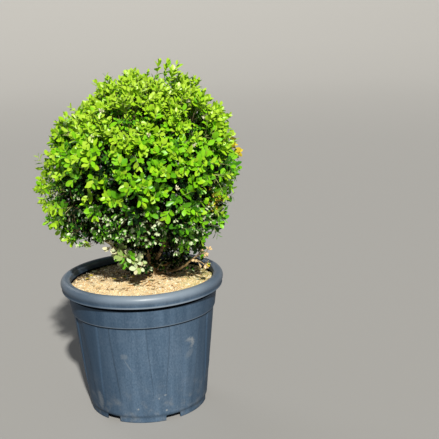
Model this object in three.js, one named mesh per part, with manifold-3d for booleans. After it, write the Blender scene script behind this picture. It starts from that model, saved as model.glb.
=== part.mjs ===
// A boxwood ball in a large fluted nursery pot.
// Millimetres, +Z up. The origin is the middle of the pot's underside, on the level that it stands on.
// Angles round the pot are measured from the front, which is -Y, towards +X.
import * as THREE from "three";
import { mergeVertices } from "three/addons/utils/BufferGeometryUtils.js";
import Module from "manifold-3d";

const wasm = await Module();
wasm.setup();

const DEGREE = Math.PI / 180;
const CLEARANCE = 0.3;
const SMALLEST_GAP = 0.003;

// Pot: a moulded shell with a rolled rim, a plain collar under it and raised panels down its wall.
const POT_HEIGHT = 417;
const POT_SIDES = 60;
const LINING_SIDES = 36;
const WALL = 4;
const RIM_RADIUS = 250;
const RIM_DEPTH = 32;
const COLLAR_TOP_RADIUS = 226;
const COLLAR_LOW_RADIUS = 219.5;
const COLLAR_LOW_Z = 313;
const WALL_TOP_RADIUS = 213.5;
const WALL_LOW_RADIUS = 185;
const FOOT_RADIUS = 182;
const FOOT_HEIGHT = 20;
const FLOOR_Z = 24;
const HUB_RADIUS = 45;
const PANELS = 12;
const PANEL_RISE = 3;
const PANEL_ANGLE = 15 * DEGREE;
const NOTCHES = 6;
const NOTCH_ANGLE = 28 * DEGREE;
const NOTCH_WIDTH = 48;
const NOTCH_HEIGHT = 17;
const DRAIN_RADIUS = 9;

// Soil: fills the pot to just under its rim, and is heaped a little round the stem.
const SOIL_EDGE_Z = 390;
const SOIL_TOP_Z = 398;
const SOIL_HEAP_RADIUS = 88;

// Trunk: leans from its foot towards the middle of the crown.
const TRUNK_FOOT = new THREE.Vector3(32, 24, SOIL_TOP_Z + CLEARANCE);
const TRUNK_TIP = new THREE.Vector3(12, 0, 672);
const TRUNK_FLARE_RADIUS = 23;
const TRUNK_RADIUS = 14;
const TRUNK_TIP_RADIUS = 7.5;

// Boughs taper from the trunk to their masses. Those of the low shoots are thinner, and lie lower.
const BOUGH_RADIUS = 7.5;
const BOUGH_TIP_RADIUS = 5;
const LOW_BOUGH_RADIUS = 5.5;
const LOW_BOUGH_TIP_RADIUS = 3;
const BOUGH_BEND_RISE = 0.4;
const LOW_BOUGH_BEND_RISE = 0.12;
const BOUGH_SIDES = 7;
const TRUNK_SIDES = 10;

// Crown: a ball of foliage made of masses that each fill a share of it, round a hollow for the limbs.
const CROWN = new THREE.Vector3(12, 0, 722);
const CROWN_RADIUS = 285;
const CROWN_FLOOR_Z = 480;
const HOLLOW_RADIUS = 74;
const LOWER_BOUGH_RISE = 88;
const CORE_DEPTH_UNDER_TIPS = 25;
const SEAM = 4;
const CORE_DETAIL = 2;
const BEYOND = 1500;
const LUMP = 7;
const SHOULDER = 32;
const LEAF_SITES = 314;
const LEAF_SPACING = 20;
const LEAF_TO_LIMB = 7;
const TWIG_TO_LIMB = 4;
const SHOOT_SPREAD = 36 * DEGREE;
const LEAF_LENGTH = 60;
const LEAF_WIDTH = 36;
const LEAF_THICKNESS = 2.8;

// Each mass: where it lies on the ball, how far out it and its shoots reach, and how high its bough forks.
const BALL_MASSES = [
  { name: "top", azimuth: 30, elevation: 88, reach: 1, shootReach: 44, shoots: 5 },
  { name: "upper_front", azimuth: 2, elevation: 30, reach: 1.01, shootReach: 20, shoots: 2, forkZ: 545 },
  { name: "upper_right", azimuth: 74, elevation: 30, reach: 1.04, shootReach: 26, shoots: 2, forkZ: 595 },
  { name: "upper_back_right", azimuth: 146, elevation: 30, reach: 1, shootReach: 22, shoots: 2, forkZ: 520 },
  { name: "upper_back_left", azimuth: 218, elevation: 30, reach: 1, shootReach: 22, shoots: 2, forkZ: 620 },
  { name: "upper_left", azimuth: 290, elevation: 30, reach: 0.97, shootReach: 24, shoots: 2, forkZ: 570 },
  { name: "lower_front", azimuth: 350, elevation: -22, reach: 0.85, shootReach: 14, forkZ: 452 },
  { name: "lower_right", azimuth: 58, elevation: -18, reach: 1, shootReach: 18, forkZ: 437 },
  { name: "lower_back_right", azimuth: 128, elevation: -18, reach: 0.99, shootReach: 18, forkZ: 446 },
  { name: "lower_back_left", azimuth: 206, elevation: -18, reach: 0.98, shootReach: 18, forkZ: 458 },
  { name: "lower_left", azimuth: 282, elevation: -18, reach: 1.02, shootReach: 20, forkZ: 465 },
];

// Three low shoots spread over the soil under the ball, two with leaves and one dry.
const LOW_SHOOTS = [
  { name: "low_shoot_front", middle: [-38, -128, 500], radius: 62, forkZ: 416, leaves: 10, leafLength: 46 },
  { name: "low_shoot_right", middle: [160, 14, 492], radius: 46, forkZ: 423, leaves: 7, leafLength: 44 },
  { name: "dry_shoot_right", middle: [186, -62, 476], radius: 42, forkZ: 410, leaves: 6, leafLength: 36 },
];

const material = (name, color, roughness) =>
  new THREE.MeshStandardMaterial({ name, color, roughness, metalness: 0 });
const potPlastic = material("pot plastic", 0x3b4148, 0.55);
const pottingSoil = material("potting soil", 0xc9a878, 0.95);
const bark = material("bark", 0x8a7357, 0.9);
const leafGreen = material("leaf green", 0x6fae22, 0.5);
const leafPale = material("pale leaf", 0xa3b87a, 0.6);
const leafDry = material("dry leaf", 0xd2b27c, 0.8);

// A seeded random number from 0 to 1, the same on every run.
function randomFrom(seed) {
  let state = seed >>> 0;
  return () => {
    state = (state + 0x6d2b79f5) >>> 0;
    let mixed = Math.imul(state ^ (state >>> 15), state | 1);
    mixed ^= mixed + Math.imul(mixed ^ (mixed >>> 7), mixed | 61);
    return ((mixed ^ (mixed >>> 14)) >>> 0) / 4294967296;
  };
}

const lerp = THREE.MathUtils.lerp;
const smoothstep = THREE.MathUtils.smoothstep;

// A unit vector from an angle round the pot and an elevation, both in degrees.
function direction(azimuth, elevation) {
  const level = Math.cos(elevation * DEGREE);
  return new THREE.Vector3(
    Math.sin(azimuth * DEGREE) * level,
    -Math.cos(azimuth * DEGREE) * level,
    Math.sin(elevation * DEGREE),
  );
}

// A geometry whose neighbouring faces share their corners.
function merge(geometry) {
  const bare = geometry.clone();
  bare.deleteAttribute("normal");
  bare.deleteAttribute("uv");
  return mergeVertices(bare, 1e-3);
}

function solid(geometry) {
  const merged = merge(geometry);
  return new wasm.Manifold(
    new wasm.Mesh({
      numProp: 3,
      vertProperties: new Float32Array(merged.attributes.position.array),
      triVerts: new Uint32Array(merged.index.array),
    }),
  );
}

function geometryOf(shape) {
  const made = shape.getMesh();
  const geometry = new THREE.BufferGeometry();
  geometry.setAttribute("position", new THREE.BufferAttribute(made.vertProperties, 3));
  geometry.setIndex(new THREE.BufferAttribute(made.triVerts, 1));
  geometry.computeVertexNormals();
  return geometry;
}

function meshOf(name, shape, finish) {
  const mesh = new THREE.Mesh(geometryOf(shape), finish);
  mesh.name = name;
  return mesh;
}

// Joins pieces into one body: loose scraps are dropped, and a hollow that the joining seals is filled.
function joined(pieces) {
  const bodies = wasm.Manifold.union(pieces).decompose();
  return bodies.reduce((largest, body) => (body.volume() > largest.volume() ? body : largest));
}

// The smallest distance between two corners of a solid.
function smallestGap(shape) {
  const corners = shape.getMesh().vertProperties;
  let smallest = Infinity;
  for (let i = 0; i < corners.length; i += 3) {
    for (let j = i + 3; j < corners.length; j += 3) {
      const dx = corners[i] - corners[j];
      const dy = corners[i + 1] - corners[j + 1];
      const dz = corners[i + 2] - corners[j + 2];
      smallest = Math.min(smallest, dx * dx + dy * dy + dz * dz);
    }
  }
  return Math.sqrt(smallest);
}

// Grows foliage from a seed, and again from the next one where two corners come out almost as one.
function grown(mass, grow, seed) {
  for (let turn = 0; turn < 20; turn++) {
    const shape = grow(mass, seed, randomFrom(seed + 1000 * turn));
    if (smallestGap(shape) > SMALLEST_GAP) return shape;
  }
  throw new Error(mass.name + " came out with corners that almost touch");
}

// A solid turned round the pot's axis from a profile of [radius, height] pairs.
function turned(profile, sides, startAngle) {
  const points = profile.map(([radius, z]) => new THREE.Vector2(radius, z));
  return new THREE.LatheGeometry(points, sides, startAngle, 2 * Math.PI).rotateX(Math.PI / 2);
}

function wallRadius(z) {
  return lerp(WALL_LOW_RADIUS, WALL_TOP_RADIUS, (z - FOOT_HEIGHT) / (COLLAR_LOW_Z - FOOT_HEIGHT));
}

// How far the wall's raised panels stand out, from 0 to 1: each narrows and fades out downwards.
function panelShare(angle, z) {
  const pitch = (2 * Math.PI) / PANELS;
  const turns = (angle - PANEL_ANGLE) / pitch;
  const fromMiddle = Math.abs(turns - Math.round(turns)) * pitch;
  const halfWidth = lerp(5.5, 9, smoothstep(z, 60, 300)) * DEGREE;
  const across = 1 - smoothstep(fromMiddle, halfWidth - 2.5 * DEGREE, halfWidth + 2.5 * DEGREE);
  return across * smoothstep(z, 36, 110);
}

const PANEL_ZS = [FOOT_HEIGHT + 2, 80, 150, 285, COLLAR_LOW_Z - 2];

// The outside of the pot as one solid block, from its foot up to the roll of its rim.
function potBlock() {
  const rimLow = POT_HEIGHT - RIM_DEPTH;
  const block = turned(
    [
      [0, 0],
      [FOOT_RADIUS, 0],
      [FOOT_RADIUS + 0.5, FOOT_HEIGHT],
      ...PANEL_ZS.map((z) => [wallRadius(z), z]),
      [COLLAR_LOW_RADIUS, COLLAR_LOW_Z],
      [COLLAR_TOP_RADIUS, rimLow],
      [COLLAR_TOP_RADIUS + 1, rimLow + 6],
      [RIM_RADIUS - 4, rimLow],
      [RIM_RADIUS, rimLow + 6],
      [RIM_RADIUS, POT_HEIGHT - 16],
      [RIM_RADIUS - 5, POT_HEIGHT - 6],
      [RIM_RADIUS - 15, POT_HEIGHT],
      [RIM_RADIUS - 25, POT_HEIGHT - 4],
      [0, POT_HEIGHT - 4],
    ],
    POT_SIDES,
    PANEL_ANGLE,
  );
  const position = block.getAttribute("position");
  for (let i = 0; i < position.count; i++) {
    const x = position.getX(i);
    const y = position.getY(i);
    const z = position.getZ(i);
    if (!PANEL_ZS.some((row) => Math.abs(row - z) < 0.01)) continue;
    const stretch = 1 + (PANEL_RISE * panelShare(Math.atan2(x, -y), z)) / Math.hypot(x, y);
    position.setXY(i, x * stretch, y * stretch);
  }
  return solid(block);
}

// The inside of the wall, from its floor up to the inner edge of the rim.
const INNER_WALL = [
  [WALL_LOW_RADIUS - WALL, FLOOR_Z],
  [WALL_TOP_RADIUS - WALL, COLLAR_LOW_Z - 7],
  [COLLAR_LOW_RADIUS - WALL - 0.5, COLLAR_LOW_Z + 3],
  [RIM_RADIUS - 28, POT_HEIGHT - 10],
];

// The room under the floor, between the foot's skirt and the hub in the middle.
function hollowUnderFloor() {
  const skirt = FOOT_RADIUS - WALL;
  const roof = FLOOR_Z - WALL;
  const ring = [
    [HUB_RADIUS, -1],
    [skirt, -1],
    [skirt, roof],
    [HUB_RADIUS + 3, roof],
    [HUB_RADIUS, -1],
  ];
  return solid(turned(ring, LINING_SIDES, PANEL_ANGLE));
}

// A block that lies along the radius at an angle round the pot.
function radialBlock(angle, fromRadius, toRadius, width, fromZ, toZ) {
  const block = new THREE.BoxGeometry(width, toRadius - fromRadius, toZ - fromZ);
  block.translate(0, -(fromRadius + toRadius) / 2, (fromZ + toZ) / 2);
  return solid(block.rotateZ(angle));
}

function pot() {
  const lining = [[0, FLOOR_Z], ...INNER_WALL, [RIM_RADIUS - 24, POT_HEIGHT + 1], [0, POT_HEIGHT + 1]];
  let shape = potBlock().subtract(solid(turned(lining, LINING_SIDES, PANEL_ANGLE)));
  shape = shape.subtract(hollowUnderFloor());
  for (let i = 0; i < NOTCHES; i++) {
    const angle = NOTCH_ANGLE + (i * 2 * Math.PI) / NOTCHES;
    const between = angle + Math.PI / NOTCHES;
    const ribEnd = FOOT_RADIUS - WALL / 2;
    const rib = radialBlock(between, HUB_RADIUS - WALL, ribEnd, WALL, NOTCH_HEIGHT / 2, FLOOR_Z - WALL / 2);
    const notch = radialBlock(angle, FOOT_RADIUS - 25, FOOT_RADIUS + 15, NOTCH_WIDTH, -5, NOTCH_HEIGHT);
    const drain = new THREE.CylinderGeometry(DRAIN_RADIUS, DRAIN_RADIUS, 4 * WALL, 10);
    drain.rotateX(Math.PI / 2).translate(0, -FOOT_RADIUS * 0.66, FLOOR_Z - WALL / 2).rotateZ(angle);
    shape = shape.add(rib).subtract(notch).subtract(solid(drain));
  }
  return shape;
}

// The soil follows the inside of the wall, and its top is uneven towards the wall.
function soil() {
  const random = randomFrom(11);
  const gap = 0.5;
  const top = INNER_WALL[INNER_WALL.length - 1];
  const low = INNER_WALL[INNER_WALL.length - 2];
  const edge = lerp(low[0], top[0], (SOIL_EDGE_Z - low[1]) / (top[1] - low[1])) - gap;
  const side = INNER_WALL.slice(0, -1).map(([radius, z]) => [radius - gap, Math.max(z, FLOOR_Z + CLEARANCE)]);
  const rings = [192, 150, SOIL_HEAP_RADIUS, 0].map((radius) => [radius, SOIL_TOP_Z]);
  const profile = [[0, FLOOR_Z + CLEARANCE], ...side, [edge, SOIL_EDGE_Z], ...rings];
  const merged = merge(turned(profile, LINING_SIDES, PANEL_ANGLE));
  const position = merged.getAttribute("position");
  for (let i = 0; i < position.count; i++) {
    const radius = Math.hypot(position.getX(i), position.getY(i));
    if (position.getZ(i) < SOIL_TOP_Z - 1 || radius < SOIL_HEAP_RADIUS + 1) continue;
    const slope = smoothstep(radius, SOIL_HEAP_RADIUS, edge);
    position.setZ(i, lerp(SOIL_TOP_Z, SOIL_EDGE_Z, slope) + 4 * (random() - 0.5));
  }
  return solid(merged);
}

// A limb along a curve, flat at both ends: a cylinder bent so that its rings follow the curve.
function limb(curve, radiusAt, sides, steps) {
  const geometry = new THREE.CylinderGeometry(1, 1, 1, sides, steps);
  const frames = curve.computeFrenetFrames(steps, false);
  const position = geometry.getAttribute("position");
  const centres = Array.from({ length: steps + 1 }, (_, i) => curve.getPointAt(i / steps));
  const placed = new THREE.Vector3();
  for (let i = 0; i < position.count; i++) {
    const across = position.getX(i);
    const aside = position.getZ(i);
    const step = Math.round((position.getY(i) + 0.5) * steps);
    const radius = radiusAt(step / steps, Math.atan2(aside, across));
    placed.copy(centres[step]);
    placed.addScaledVector(frames.normals[step], across * radius);
    placed.addScaledVector(frames.binormals[step], -aside * radius);
    position.setXYZ(i, placed.x, placed.y, placed.z);
  }
  return solid(geometry);
}

// The trunk's line: upright at its foot, then leaning to the middle of the crown.
const trunkLine = new THREE.CubicBezierCurve3(
  TRUNK_FOOT,
  TRUNK_FOOT.clone().add(new THREE.Vector3(0, 0, 70)),
  TRUNK_TIP.clone().add(new THREE.Vector3(-8, 14, -110)),
  TRUNK_TIP,
);

function trunkRadius(share, angle = 0) {
  const taper = lerp(TRUNK_RADIUS, TRUNK_TIP_RADIUS, Math.pow(share, 0.8));
  const flare = Math.exp(-share / 0.035);
  const roots = 1 + 0.16 * Math.cos(5 * angle + 0.6);
  return taper + (TRUNK_FLARE_RADIUS - TRUNK_RADIUS) * flare * roots;
}

function trunk(growth) {
  return limb(trunkLine, (share, angle) => trunkRadius(share, angle) + growth, TRUNK_SIDES, 12);
}

// A bough leaves the trunk outwards, turns up, and ends where it enters its mass.
function boughLine(mass) {
  const start = trunkPointAt(mass.forkZ);
  const bend = start.clone().lerp(mass.entry, 0.72);
  bend.z = lerp(start.z, mass.entry.z, mass.middle ? LOW_BOUGH_BEND_RISE : BOUGH_BEND_RISE);
  return new THREE.QuadraticBezierCurve3(start, bend, mass.entry);
}

function trunkPointAt(z) {
  return trunkLine.getPointAt((z - TRUNK_FOOT.z) / (TRUNK_TIP.z - TRUNK_FOOT.z));
}

// The middle of the hollow for the limbs at a height: on a straight line from the foot to the crown's middle.
function hollowMiddle(z) {
  const share = THREE.MathUtils.clamp((z - TRUNK_FOOT.z) / (CROWN.z - TRUNK_FOOT.z), 0, 1);
  return TRUNK_FOOT.clone().lerp(CROWN, share);
}

function boughRadius(mass, share) {
  return lerp(mass.rootRadius, mass.tipRadius, share);
}

// Fills in a ball mass's own sizes. The top mass grows on from the trunk's tip and has no bough.
function settleBallMass(mass) {
  mass.axis = direction(mass.azimuth, mass.elevation);
  mass.tips = CROWN_RADIUS * mass.reach;
  const middle = (mass.tips - CORE_DEPTH_UNDER_TIPS + HOLLOW_RADIUS) / 2;
  mass.centre = CROWN.clone().addScaledVector(mass.axis, middle);
  mass.rootRadius = BOUGH_RADIUS;
  mass.tipRadius = BOUGH_TIP_RADIUS;
  if (!mass.forkZ) {
    mass.tipRadius = TRUNK_TIP_RADIUS;
    mass.entry = TRUNK_TIP.clone();
  } else if (mass.elevation > 0) {
    mass.entry = CROWN.clone().addScaledVector(mass.axis, HOLLOW_RADIUS - 12);
  } else {
    mass.entry = hollowMiddle(mass.forkZ + LOWER_BOUGH_RISE);
    mass.entry.addScaledVector(direction(mass.azimuth, 0), HOLLOW_RADIUS - 12);
  }
  return mass;
}

function settleLowShoot(mass) {
  const fork = trunkPointAt(mass.forkZ);
  mass.centre = new THREE.Vector3(...mass.middle);
  mass.axis = mass.centre.clone().sub(fork).normalize();
  mass.entry = mass.centre.clone().addScaledVector(mass.axis, -mass.radius);
  mass.rootRadius = LOW_BOUGH_RADIUS;
  mass.tipRadius = LOW_BOUGH_TIP_RADIUS;
  mass.shootReach = 0;
  return mass;
}

const masses = [...BALL_MASSES.map(settleBallMass), ...LOW_SHOOTS.map(settleLowShoot)];

// Points along every limb, with its radius there, so that foliage can keep clear of it.
function limbStations() {
  const stations = [];
  const along = (curve, radiusAt) => {
    for (let i = 0; i <= 24; i++) {
      stations.push({ point: curve.getPointAt(i / 24), radius: radiusAt(i / 24) });
    }
  };
  along(trunkLine, trunkRadius);
  for (const mass of masses) {
    if (mass.forkZ) along(boughLine(mass), (share) => boughRadius(mass, share));
  }
  return stations;
}

const stations = limbStations();

function clearOfLimbs(point, margin) {
  return stations.every(({ point: other, radius }) => point.distanceTo(other) > radius + margin);
}

// True where a point lies in a mass's own space: its share of the ball, or its own small ball.
function inSpace(mass, point, margin, overshoot) {
  if (mass.middle) {
    return point.distanceTo(mass.centre) < mass.radius - margin && point.z > SOIL_TOP_Z + 6;
  }
  const fromCrown = point.clone().sub(CROWN);
  if (point.z < CROWN_FLOOR_Z + margin) return false;
  if (fromCrown.length() > mass.tips + overshoot) return false;
  for (const other of masses) {
    if (other === mass) continue;
    if (other.middle) {
      if (point.distanceTo(other.centre) < other.radius + margin) return false;
      continue;
    }
    const towards = other.axis.clone().sub(mass.axis).normalize();
    if (fromCrown.dot(towards) > -margin) return false;
  }
  return true;
}

// A large block whose flat side faces along a direction and lies at a distance from a point.
function halfSpace(point, facing, distance) {
  const block = new THREE.BoxGeometry(BEYOND, BEYOND, BEYOND).translate(0, 0, distance - BEYOND / 2);
  const turn = new THREE.Quaternion().setFromUnitVectors(new THREE.Vector3(0, 0, 1), facing);
  return solid(block.applyQuaternion(turn).translate(point.x, point.y, point.z));
}

// The hollow for the limbs: a round shaft from the foot up to the crown's middle, with a domed end.
function hollow() {
  const line = CROWN.clone().sub(TRUNK_FOOT);
  const shaft = new THREE.CapsuleGeometry(HOLLOW_RADIUS, line.length(), 4, 14);
  const upright = new THREE.Vector3(0, 1, 0);
  const turn = new THREE.Quaternion().setFromUnitVectors(upright, line.clone().normalize());
  const middle = TRUNK_FOOT.clone().lerp(CROWN, 0.5);
  return solid(shaft.applyQuaternion(turn).translate(middle.x, middle.y, middle.z));
}

// The core of a mass: its share of a lumpy ball, cut clear of its neighbours and of the hollow.
function core(mass) {
  const ball = merge(new THREE.IcosahedronGeometry(1, CORE_DETAIL));
  const position = ball.getAttribute("position");
  const along = new THREE.Vector3();
  for (let i = 0; i < position.count; i++) {
    along.fromBufferAttribute(position, i).normalize();
    const lump = LUMP * Math.sin(9 * along.x + 2) * Math.sin(8 * along.y + 7 * along.z);
    const shoulder = SHOULDER * smoothstep(along.angleTo(mass.axis), 14 * DEGREE, 38 * DEGREE);
    along.multiplyScalar(mass.tips - CORE_DEPTH_UNDER_TIPS + lump - shoulder).add(CROWN);
    position.setXYZ(i, along.x, along.y, along.z);
  }
  const neighbours = masses.filter((other) => other !== mass && !other.middle);
  const towards = neighbours.map((other) => other.axis.clone().sub(mass.axis).normalize());
  const cuts = towards.map((facing) => halfSpace(CROWN, facing, -SEAM));
  cuts.push(halfSpace(CROWN, new THREE.Vector3(0, 0, -1), CROWN.z - CROWN_FLOOR_Z - SEAM));
  return wasm.Manifold.intersection([solid(ball), ...cuts]).subtract(hollow());
}

// Where a line first meets the core of a mass, or null where it passes by.
function meetCore(coreFaces, from, towards) {
  const position = coreFaces.getAttribute("position");
  const ray = new THREE.Ray(from, towards.clone().sub(from).normalize());
  const corner = (i) => new THREE.Vector3().fromBufferAttribute(position, coreFaces.index.getX(i));
  for (let i = 0; i < coreFaces.index.count; i += 3) {
    const hit = ray.intersectTriangle(corner(i), corner(i + 1), corner(i + 2), true, new THREE.Vector3());
    if (hit) return hit;
  }
  return null;
}

// A leaf with eight faces, from its stalk at root, with its blade facing as nearly as it can along face.
function leafGeometry(root, along, face, length, width) {
  const leaf = new THREE.OctahedronGeometry(1);
  const position = leaf.getAttribute("position");
  for (let i = 0; i < position.count; i++) {
    const isEnd = Math.abs(position.getY(i)) > 0.5;
    const lengthwise = isEnd ? (position.getY(i) + 1) / 2 : 0.58;
    const x = (position.getX(i) * width) / 2;
    const z = (position.getZ(i) * LEAF_THICKNESS) / 2;
    position.setXYZ(i, x, lengthwise * length, z);
  }
  const across = new THREE.Vector3().crossVectors(along, face).normalize();
  const up = new THREE.Vector3().crossVectors(across, along);
  return leaf.applyMatrix4(new THREE.Matrix4().makeBasis(across, along, up).setPosition(root));
}

// The corners of a leaf, and points between each of them and its stalk's end.
function pointsOn(leaf, root) {
  const position = leaf.getAttribute("position");
  const points = [];
  for (let i = 0; i < position.count; i++) {
    const corner = new THREE.Vector3().fromBufferAttribute(position, i);
    points.push(corner, corner.clone().lerp(root, 0.33), corner.clone().lerp(root, 0.66));
  }
  return points;
}

// A direction that leans away from another one by an angle, turned to a random side.
function leaning(axis, angle, random) {
  const aside = new THREE.Vector3(random() - 0.5, random() - 0.5, random() - 0.5).cross(axis).normalize();
  return axis.clone().multiplyScalar(Math.cos(angle)).addScaledVector(aside, Math.sin(angle));
}

// Tries a leaf in a few random ways. It has to stay in its mass's own space, clear of the leaves before it.
function tryLeaf(mass, root, outward, lean, length, overshoot, random, others) {
  for (let attempt = 0; attempt < 14; attempt++) {
    const along = leaning(outward, lean * (0.75 + 0.5 * random()), random);
    along.z += 0.12;
    along.normalize();
    const size = length * (0.86 + 0.28 * random());
    const middle = root.clone().addScaledVector(along, size * 0.6);
    if (others.some((other) => other.distanceTo(middle) < LEAF_SPACING)) continue;
    const leaf = leafGeometry(root, along, outward, size, (size * LEAF_WIDTH) / LEAF_LENGTH);
    const stays = pointsOn(leaf, root).every(
      (point) => inSpace(mass, point, SEAM / 2, overshoot) && clearOfLimbs(point, LEAF_TO_LIMB),
    );
    if (!stays) continue;
    others.push(middle);
    return solid(leaf);
  }
  return null;
}

// A three-sided twig from one point to another.
function twig(from, to, radius) {
  const line = new THREE.LineCurve3(from, to);
  return limb(line, (share) => lerp(radius, radius * 0.45, share), 3, 1);
}

// A shoot that stands out of a mass, with leaves in pairs up to its tip.
function shoot(mass, root, outward, length, leafLength, random, others) {
  const tip = root.clone().addScaledVector(outward, length);
  if (!inSpace(mass, tip, SEAM, mass.shootReach) || !clearOfLimbs(tip, TWIG_TO_LIMB)) return [];
  const pieces = [twig(root, tip, 3.2)];
  for (const share of [0.66, 0.92]) {
    const node = root.clone().lerp(tip, share);
    for (let side = 0; side < 2; side++) {
      const leaf = tryLeaf(mass, node, outward, 52 * DEGREE, leafLength, mass.shootReach, random, others);
      if (leaf) pieces.push(leaf);
    }
  }
  return pieces;
}

// The stem of a mass goes on from its bough's tip: into its core, or up through a low shoot.
function stemLine(mass) {
  const start = mass.entry.clone().addScaledVector(mass.heading, CLEARANCE);
  const onward = mass.middle ? mass.radius * 0.6 : 0;
  const end = mass.centre.clone().addScaledVector(mass.heading, onward);
  return new THREE.QuadraticBezierCurve3(start, start.clone().addScaledVector(mass.heading, 24), end);
}

function massStem(mass) {
  return limb(stemLine(mass), (share) => lerp(mass.tipRadius, mass.middle ? 1.6 : 4, share), 6, 3);
}

const GOLDEN_ANGLE = Math.PI * (3 - Math.sqrt(5));

// Leaf sites spread evenly over the whole ball, each given to the mass whose space it lies over.
function leafSites() {
  const sites = [];
  for (let i = 0; i < LEAF_SITES; i++) {
    const height = 1 - (2 * i + 1) / LEAF_SITES;
    const level = Math.sqrt(1 - height * height);
    const turn = i * GOLDEN_ANGLE;
    const along = new THREE.Vector3(Math.cos(turn) * level, Math.sin(turn) * level, height);
    const owners = masses.filter((mass) => !mass.middle);
    const owner = owners.reduce((best, mass) => (mass.axis.dot(along) > best.axis.dot(along) ? mass : best));
    sites.push({ along, owner });
  }
  return sites;
}

const sites = leafSites();

// A mass of the ball: a core, leaves that stand out of it, and shoots that reach furthest.
function ballMass(mass, seed, random) {
  const coreShape = core(mass);
  const coreFaces = geometryOf(coreShape);
  const pieces = [coreShape, massStem(mass)];
  const others = [];
  const turn = randomFrom(seed + 1);
  for (let i = 0; i < (mass.shoots ?? 1); i++) {
    const along = leaning(mass.axis, SHOOT_SPREAD * Math.sqrt(turn()), turn);
    const surface = meetCore(coreFaces, CROWN.clone().addScaledVector(along, mass.tips), mass.centre);
    const root = surface.lerp(mass.centre, 0.15);
    const outward = root.clone().sub(CROWN).normalize();
    const length = (mass.tips + mass.shootReach - 18 - root.distanceTo(CROWN)) * (0.8 + 0.2 * turn());
    pieces.push(...shoot(mass, root, outward, length, LEAF_LENGTH * 0.8, random, others));
  }
  for (const { along, owner } of sites) {
    const over = CROWN.clone().addScaledVector(along, mass.tips);
    if (owner !== mass || over.z < CROWN_FLOOR_Z - 10) continue;
    const surface = meetCore(coreFaces, over, CROWN) ?? meetCore(coreFaces, over, mass.centre);
    const inward = mass.centre.clone().sub(surface).normalize();
    const root = surface.addScaledVector(inward, 10);
    const leaf = tryLeaf(mass, root, along, 50 * DEGREE, LEAF_LENGTH, 3, random, others);
    if (leaf) pieces.push(leaf);
  }
  return joined(pieces);
}

// A low shoot: side twigs off one stem, with leaves along them and no core.
function lowShoot(mass, seed, random) {
  const pieces = [massStem(mass)];
  const others = [];
  const line = stemLine(mass);
  for (let tries = 0; tries < 400 && others.length < mass.leaves; tries++) {
    const node = line.getPoint(0.3 + 0.66 * random());
    const outward = leaning(mass.heading, 62 * DEGREE, random);
    const tip = node.clone().addScaledVector(outward, mass.radius * 0.45);
    if (!inSpace(mass, tip, SEAM, 0) || !clearOfLimbs(tip, TWIG_TO_LIMB)) continue;
    const leaves = [0.55, 0.96]
      .map((share) => node.clone().lerp(tip, share))
      .map((root) => tryLeaf(mass, root, outward, 55 * DEGREE, mass.leafLength, 0, random, others))
      .filter((leaf) => leaf);
    if (leaves.length) pieces.push(twig(node, tip, 2), ...leaves);
  }
  return joined(pieces);
}

const plant = new THREE.Group();
plant.add(meshOf("pot", pot(), potPlastic));
plant.add(meshOf("soil", soil(), pottingSoil));
plant.add(meshOf("trunk", trunk(0), bark));

const trunkCutter = trunk(CLEARANCE);
for (const [index, mass] of masses.entries()) {
  mass.heading = mass.axis.clone();
  if (mass.forkZ) {
    const line = boughLine(mass);
    mass.heading = line.getTangentAt(1);
    const bough = limb(line, (share) => boughRadius(mass, share), BOUGH_SIDES, 5).subtract(trunkCutter);
    plant.add(meshOf("bough_" + mass.name, bough, bark));
  } else {
    mass.heading = trunkLine.getTangentAt(1);
  }
  const seed = 100 + 17 * index;
  const shape = grown(mass, mass.middle ? lowShoot : ballMass, seed);
  const finish = mass.middle ? (mass.name.startsWith("dry") ? leafDry : leafPale) : leafGreen;
  plant.add(meshOf("foliage_" + mass.name, shape, finish));
}

export default plant;
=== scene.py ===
# %% [markdown]
# A boxwood ball in a large fluted nursery pot, a little over a metre tall.
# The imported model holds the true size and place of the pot, the soil, the limbs and the masses of foliage.
# This lesson dresses that model: each step says what the real thing is, and then makes it as a mesh.
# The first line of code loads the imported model, and everything else is placed from it, in metres.

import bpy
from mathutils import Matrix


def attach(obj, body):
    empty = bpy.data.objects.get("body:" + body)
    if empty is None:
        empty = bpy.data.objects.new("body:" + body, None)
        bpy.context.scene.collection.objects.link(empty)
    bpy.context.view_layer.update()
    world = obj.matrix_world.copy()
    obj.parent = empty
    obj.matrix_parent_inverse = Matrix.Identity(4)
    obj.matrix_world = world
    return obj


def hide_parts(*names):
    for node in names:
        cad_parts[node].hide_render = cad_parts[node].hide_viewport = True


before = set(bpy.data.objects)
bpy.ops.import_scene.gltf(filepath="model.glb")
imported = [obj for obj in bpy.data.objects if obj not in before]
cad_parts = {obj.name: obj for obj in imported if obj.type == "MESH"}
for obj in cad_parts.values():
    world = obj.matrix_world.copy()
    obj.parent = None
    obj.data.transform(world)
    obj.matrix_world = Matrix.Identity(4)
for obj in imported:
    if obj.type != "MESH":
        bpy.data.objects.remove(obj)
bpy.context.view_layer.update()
print("packed nodes:", len(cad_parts))

# %% [markdown]
# Two modules do most of the work. numpy handles thousands of leaves at once, because one array sum is far
# quicker than a loop over leaves. Blender's own noise gives relief that is the same on every run.

# %% Modules and small sums
import math

import bpy
import numpy as np
from mathutils import Matrix, Vector, noise

DEGREE = math.pi / 180


def lerp(low, high, share):
    return low + (high - low) * share


def smoothstep(value, low, high):
    share = np.clip((value - low) / (high - low), 0, 1)
    return share * share * (3 - 2 * share)


def unit(vectors):
    return vectors / np.linalg.norm(vectors, axis=-1, keepdims=True)


def direction(azimuth, elevation):
    """A unit vector from an angle round the pot, with 0 at the front, and an elevation, both in degrees."""
    level = math.cos(elevation * DEGREE)
    across = math.sin(azimuth * DEGREE) * level
    depth = -math.cos(azimuth * DEGREE) * level
    return np.array([across, depth, math.sin(elevation * DEGREE)])


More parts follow.
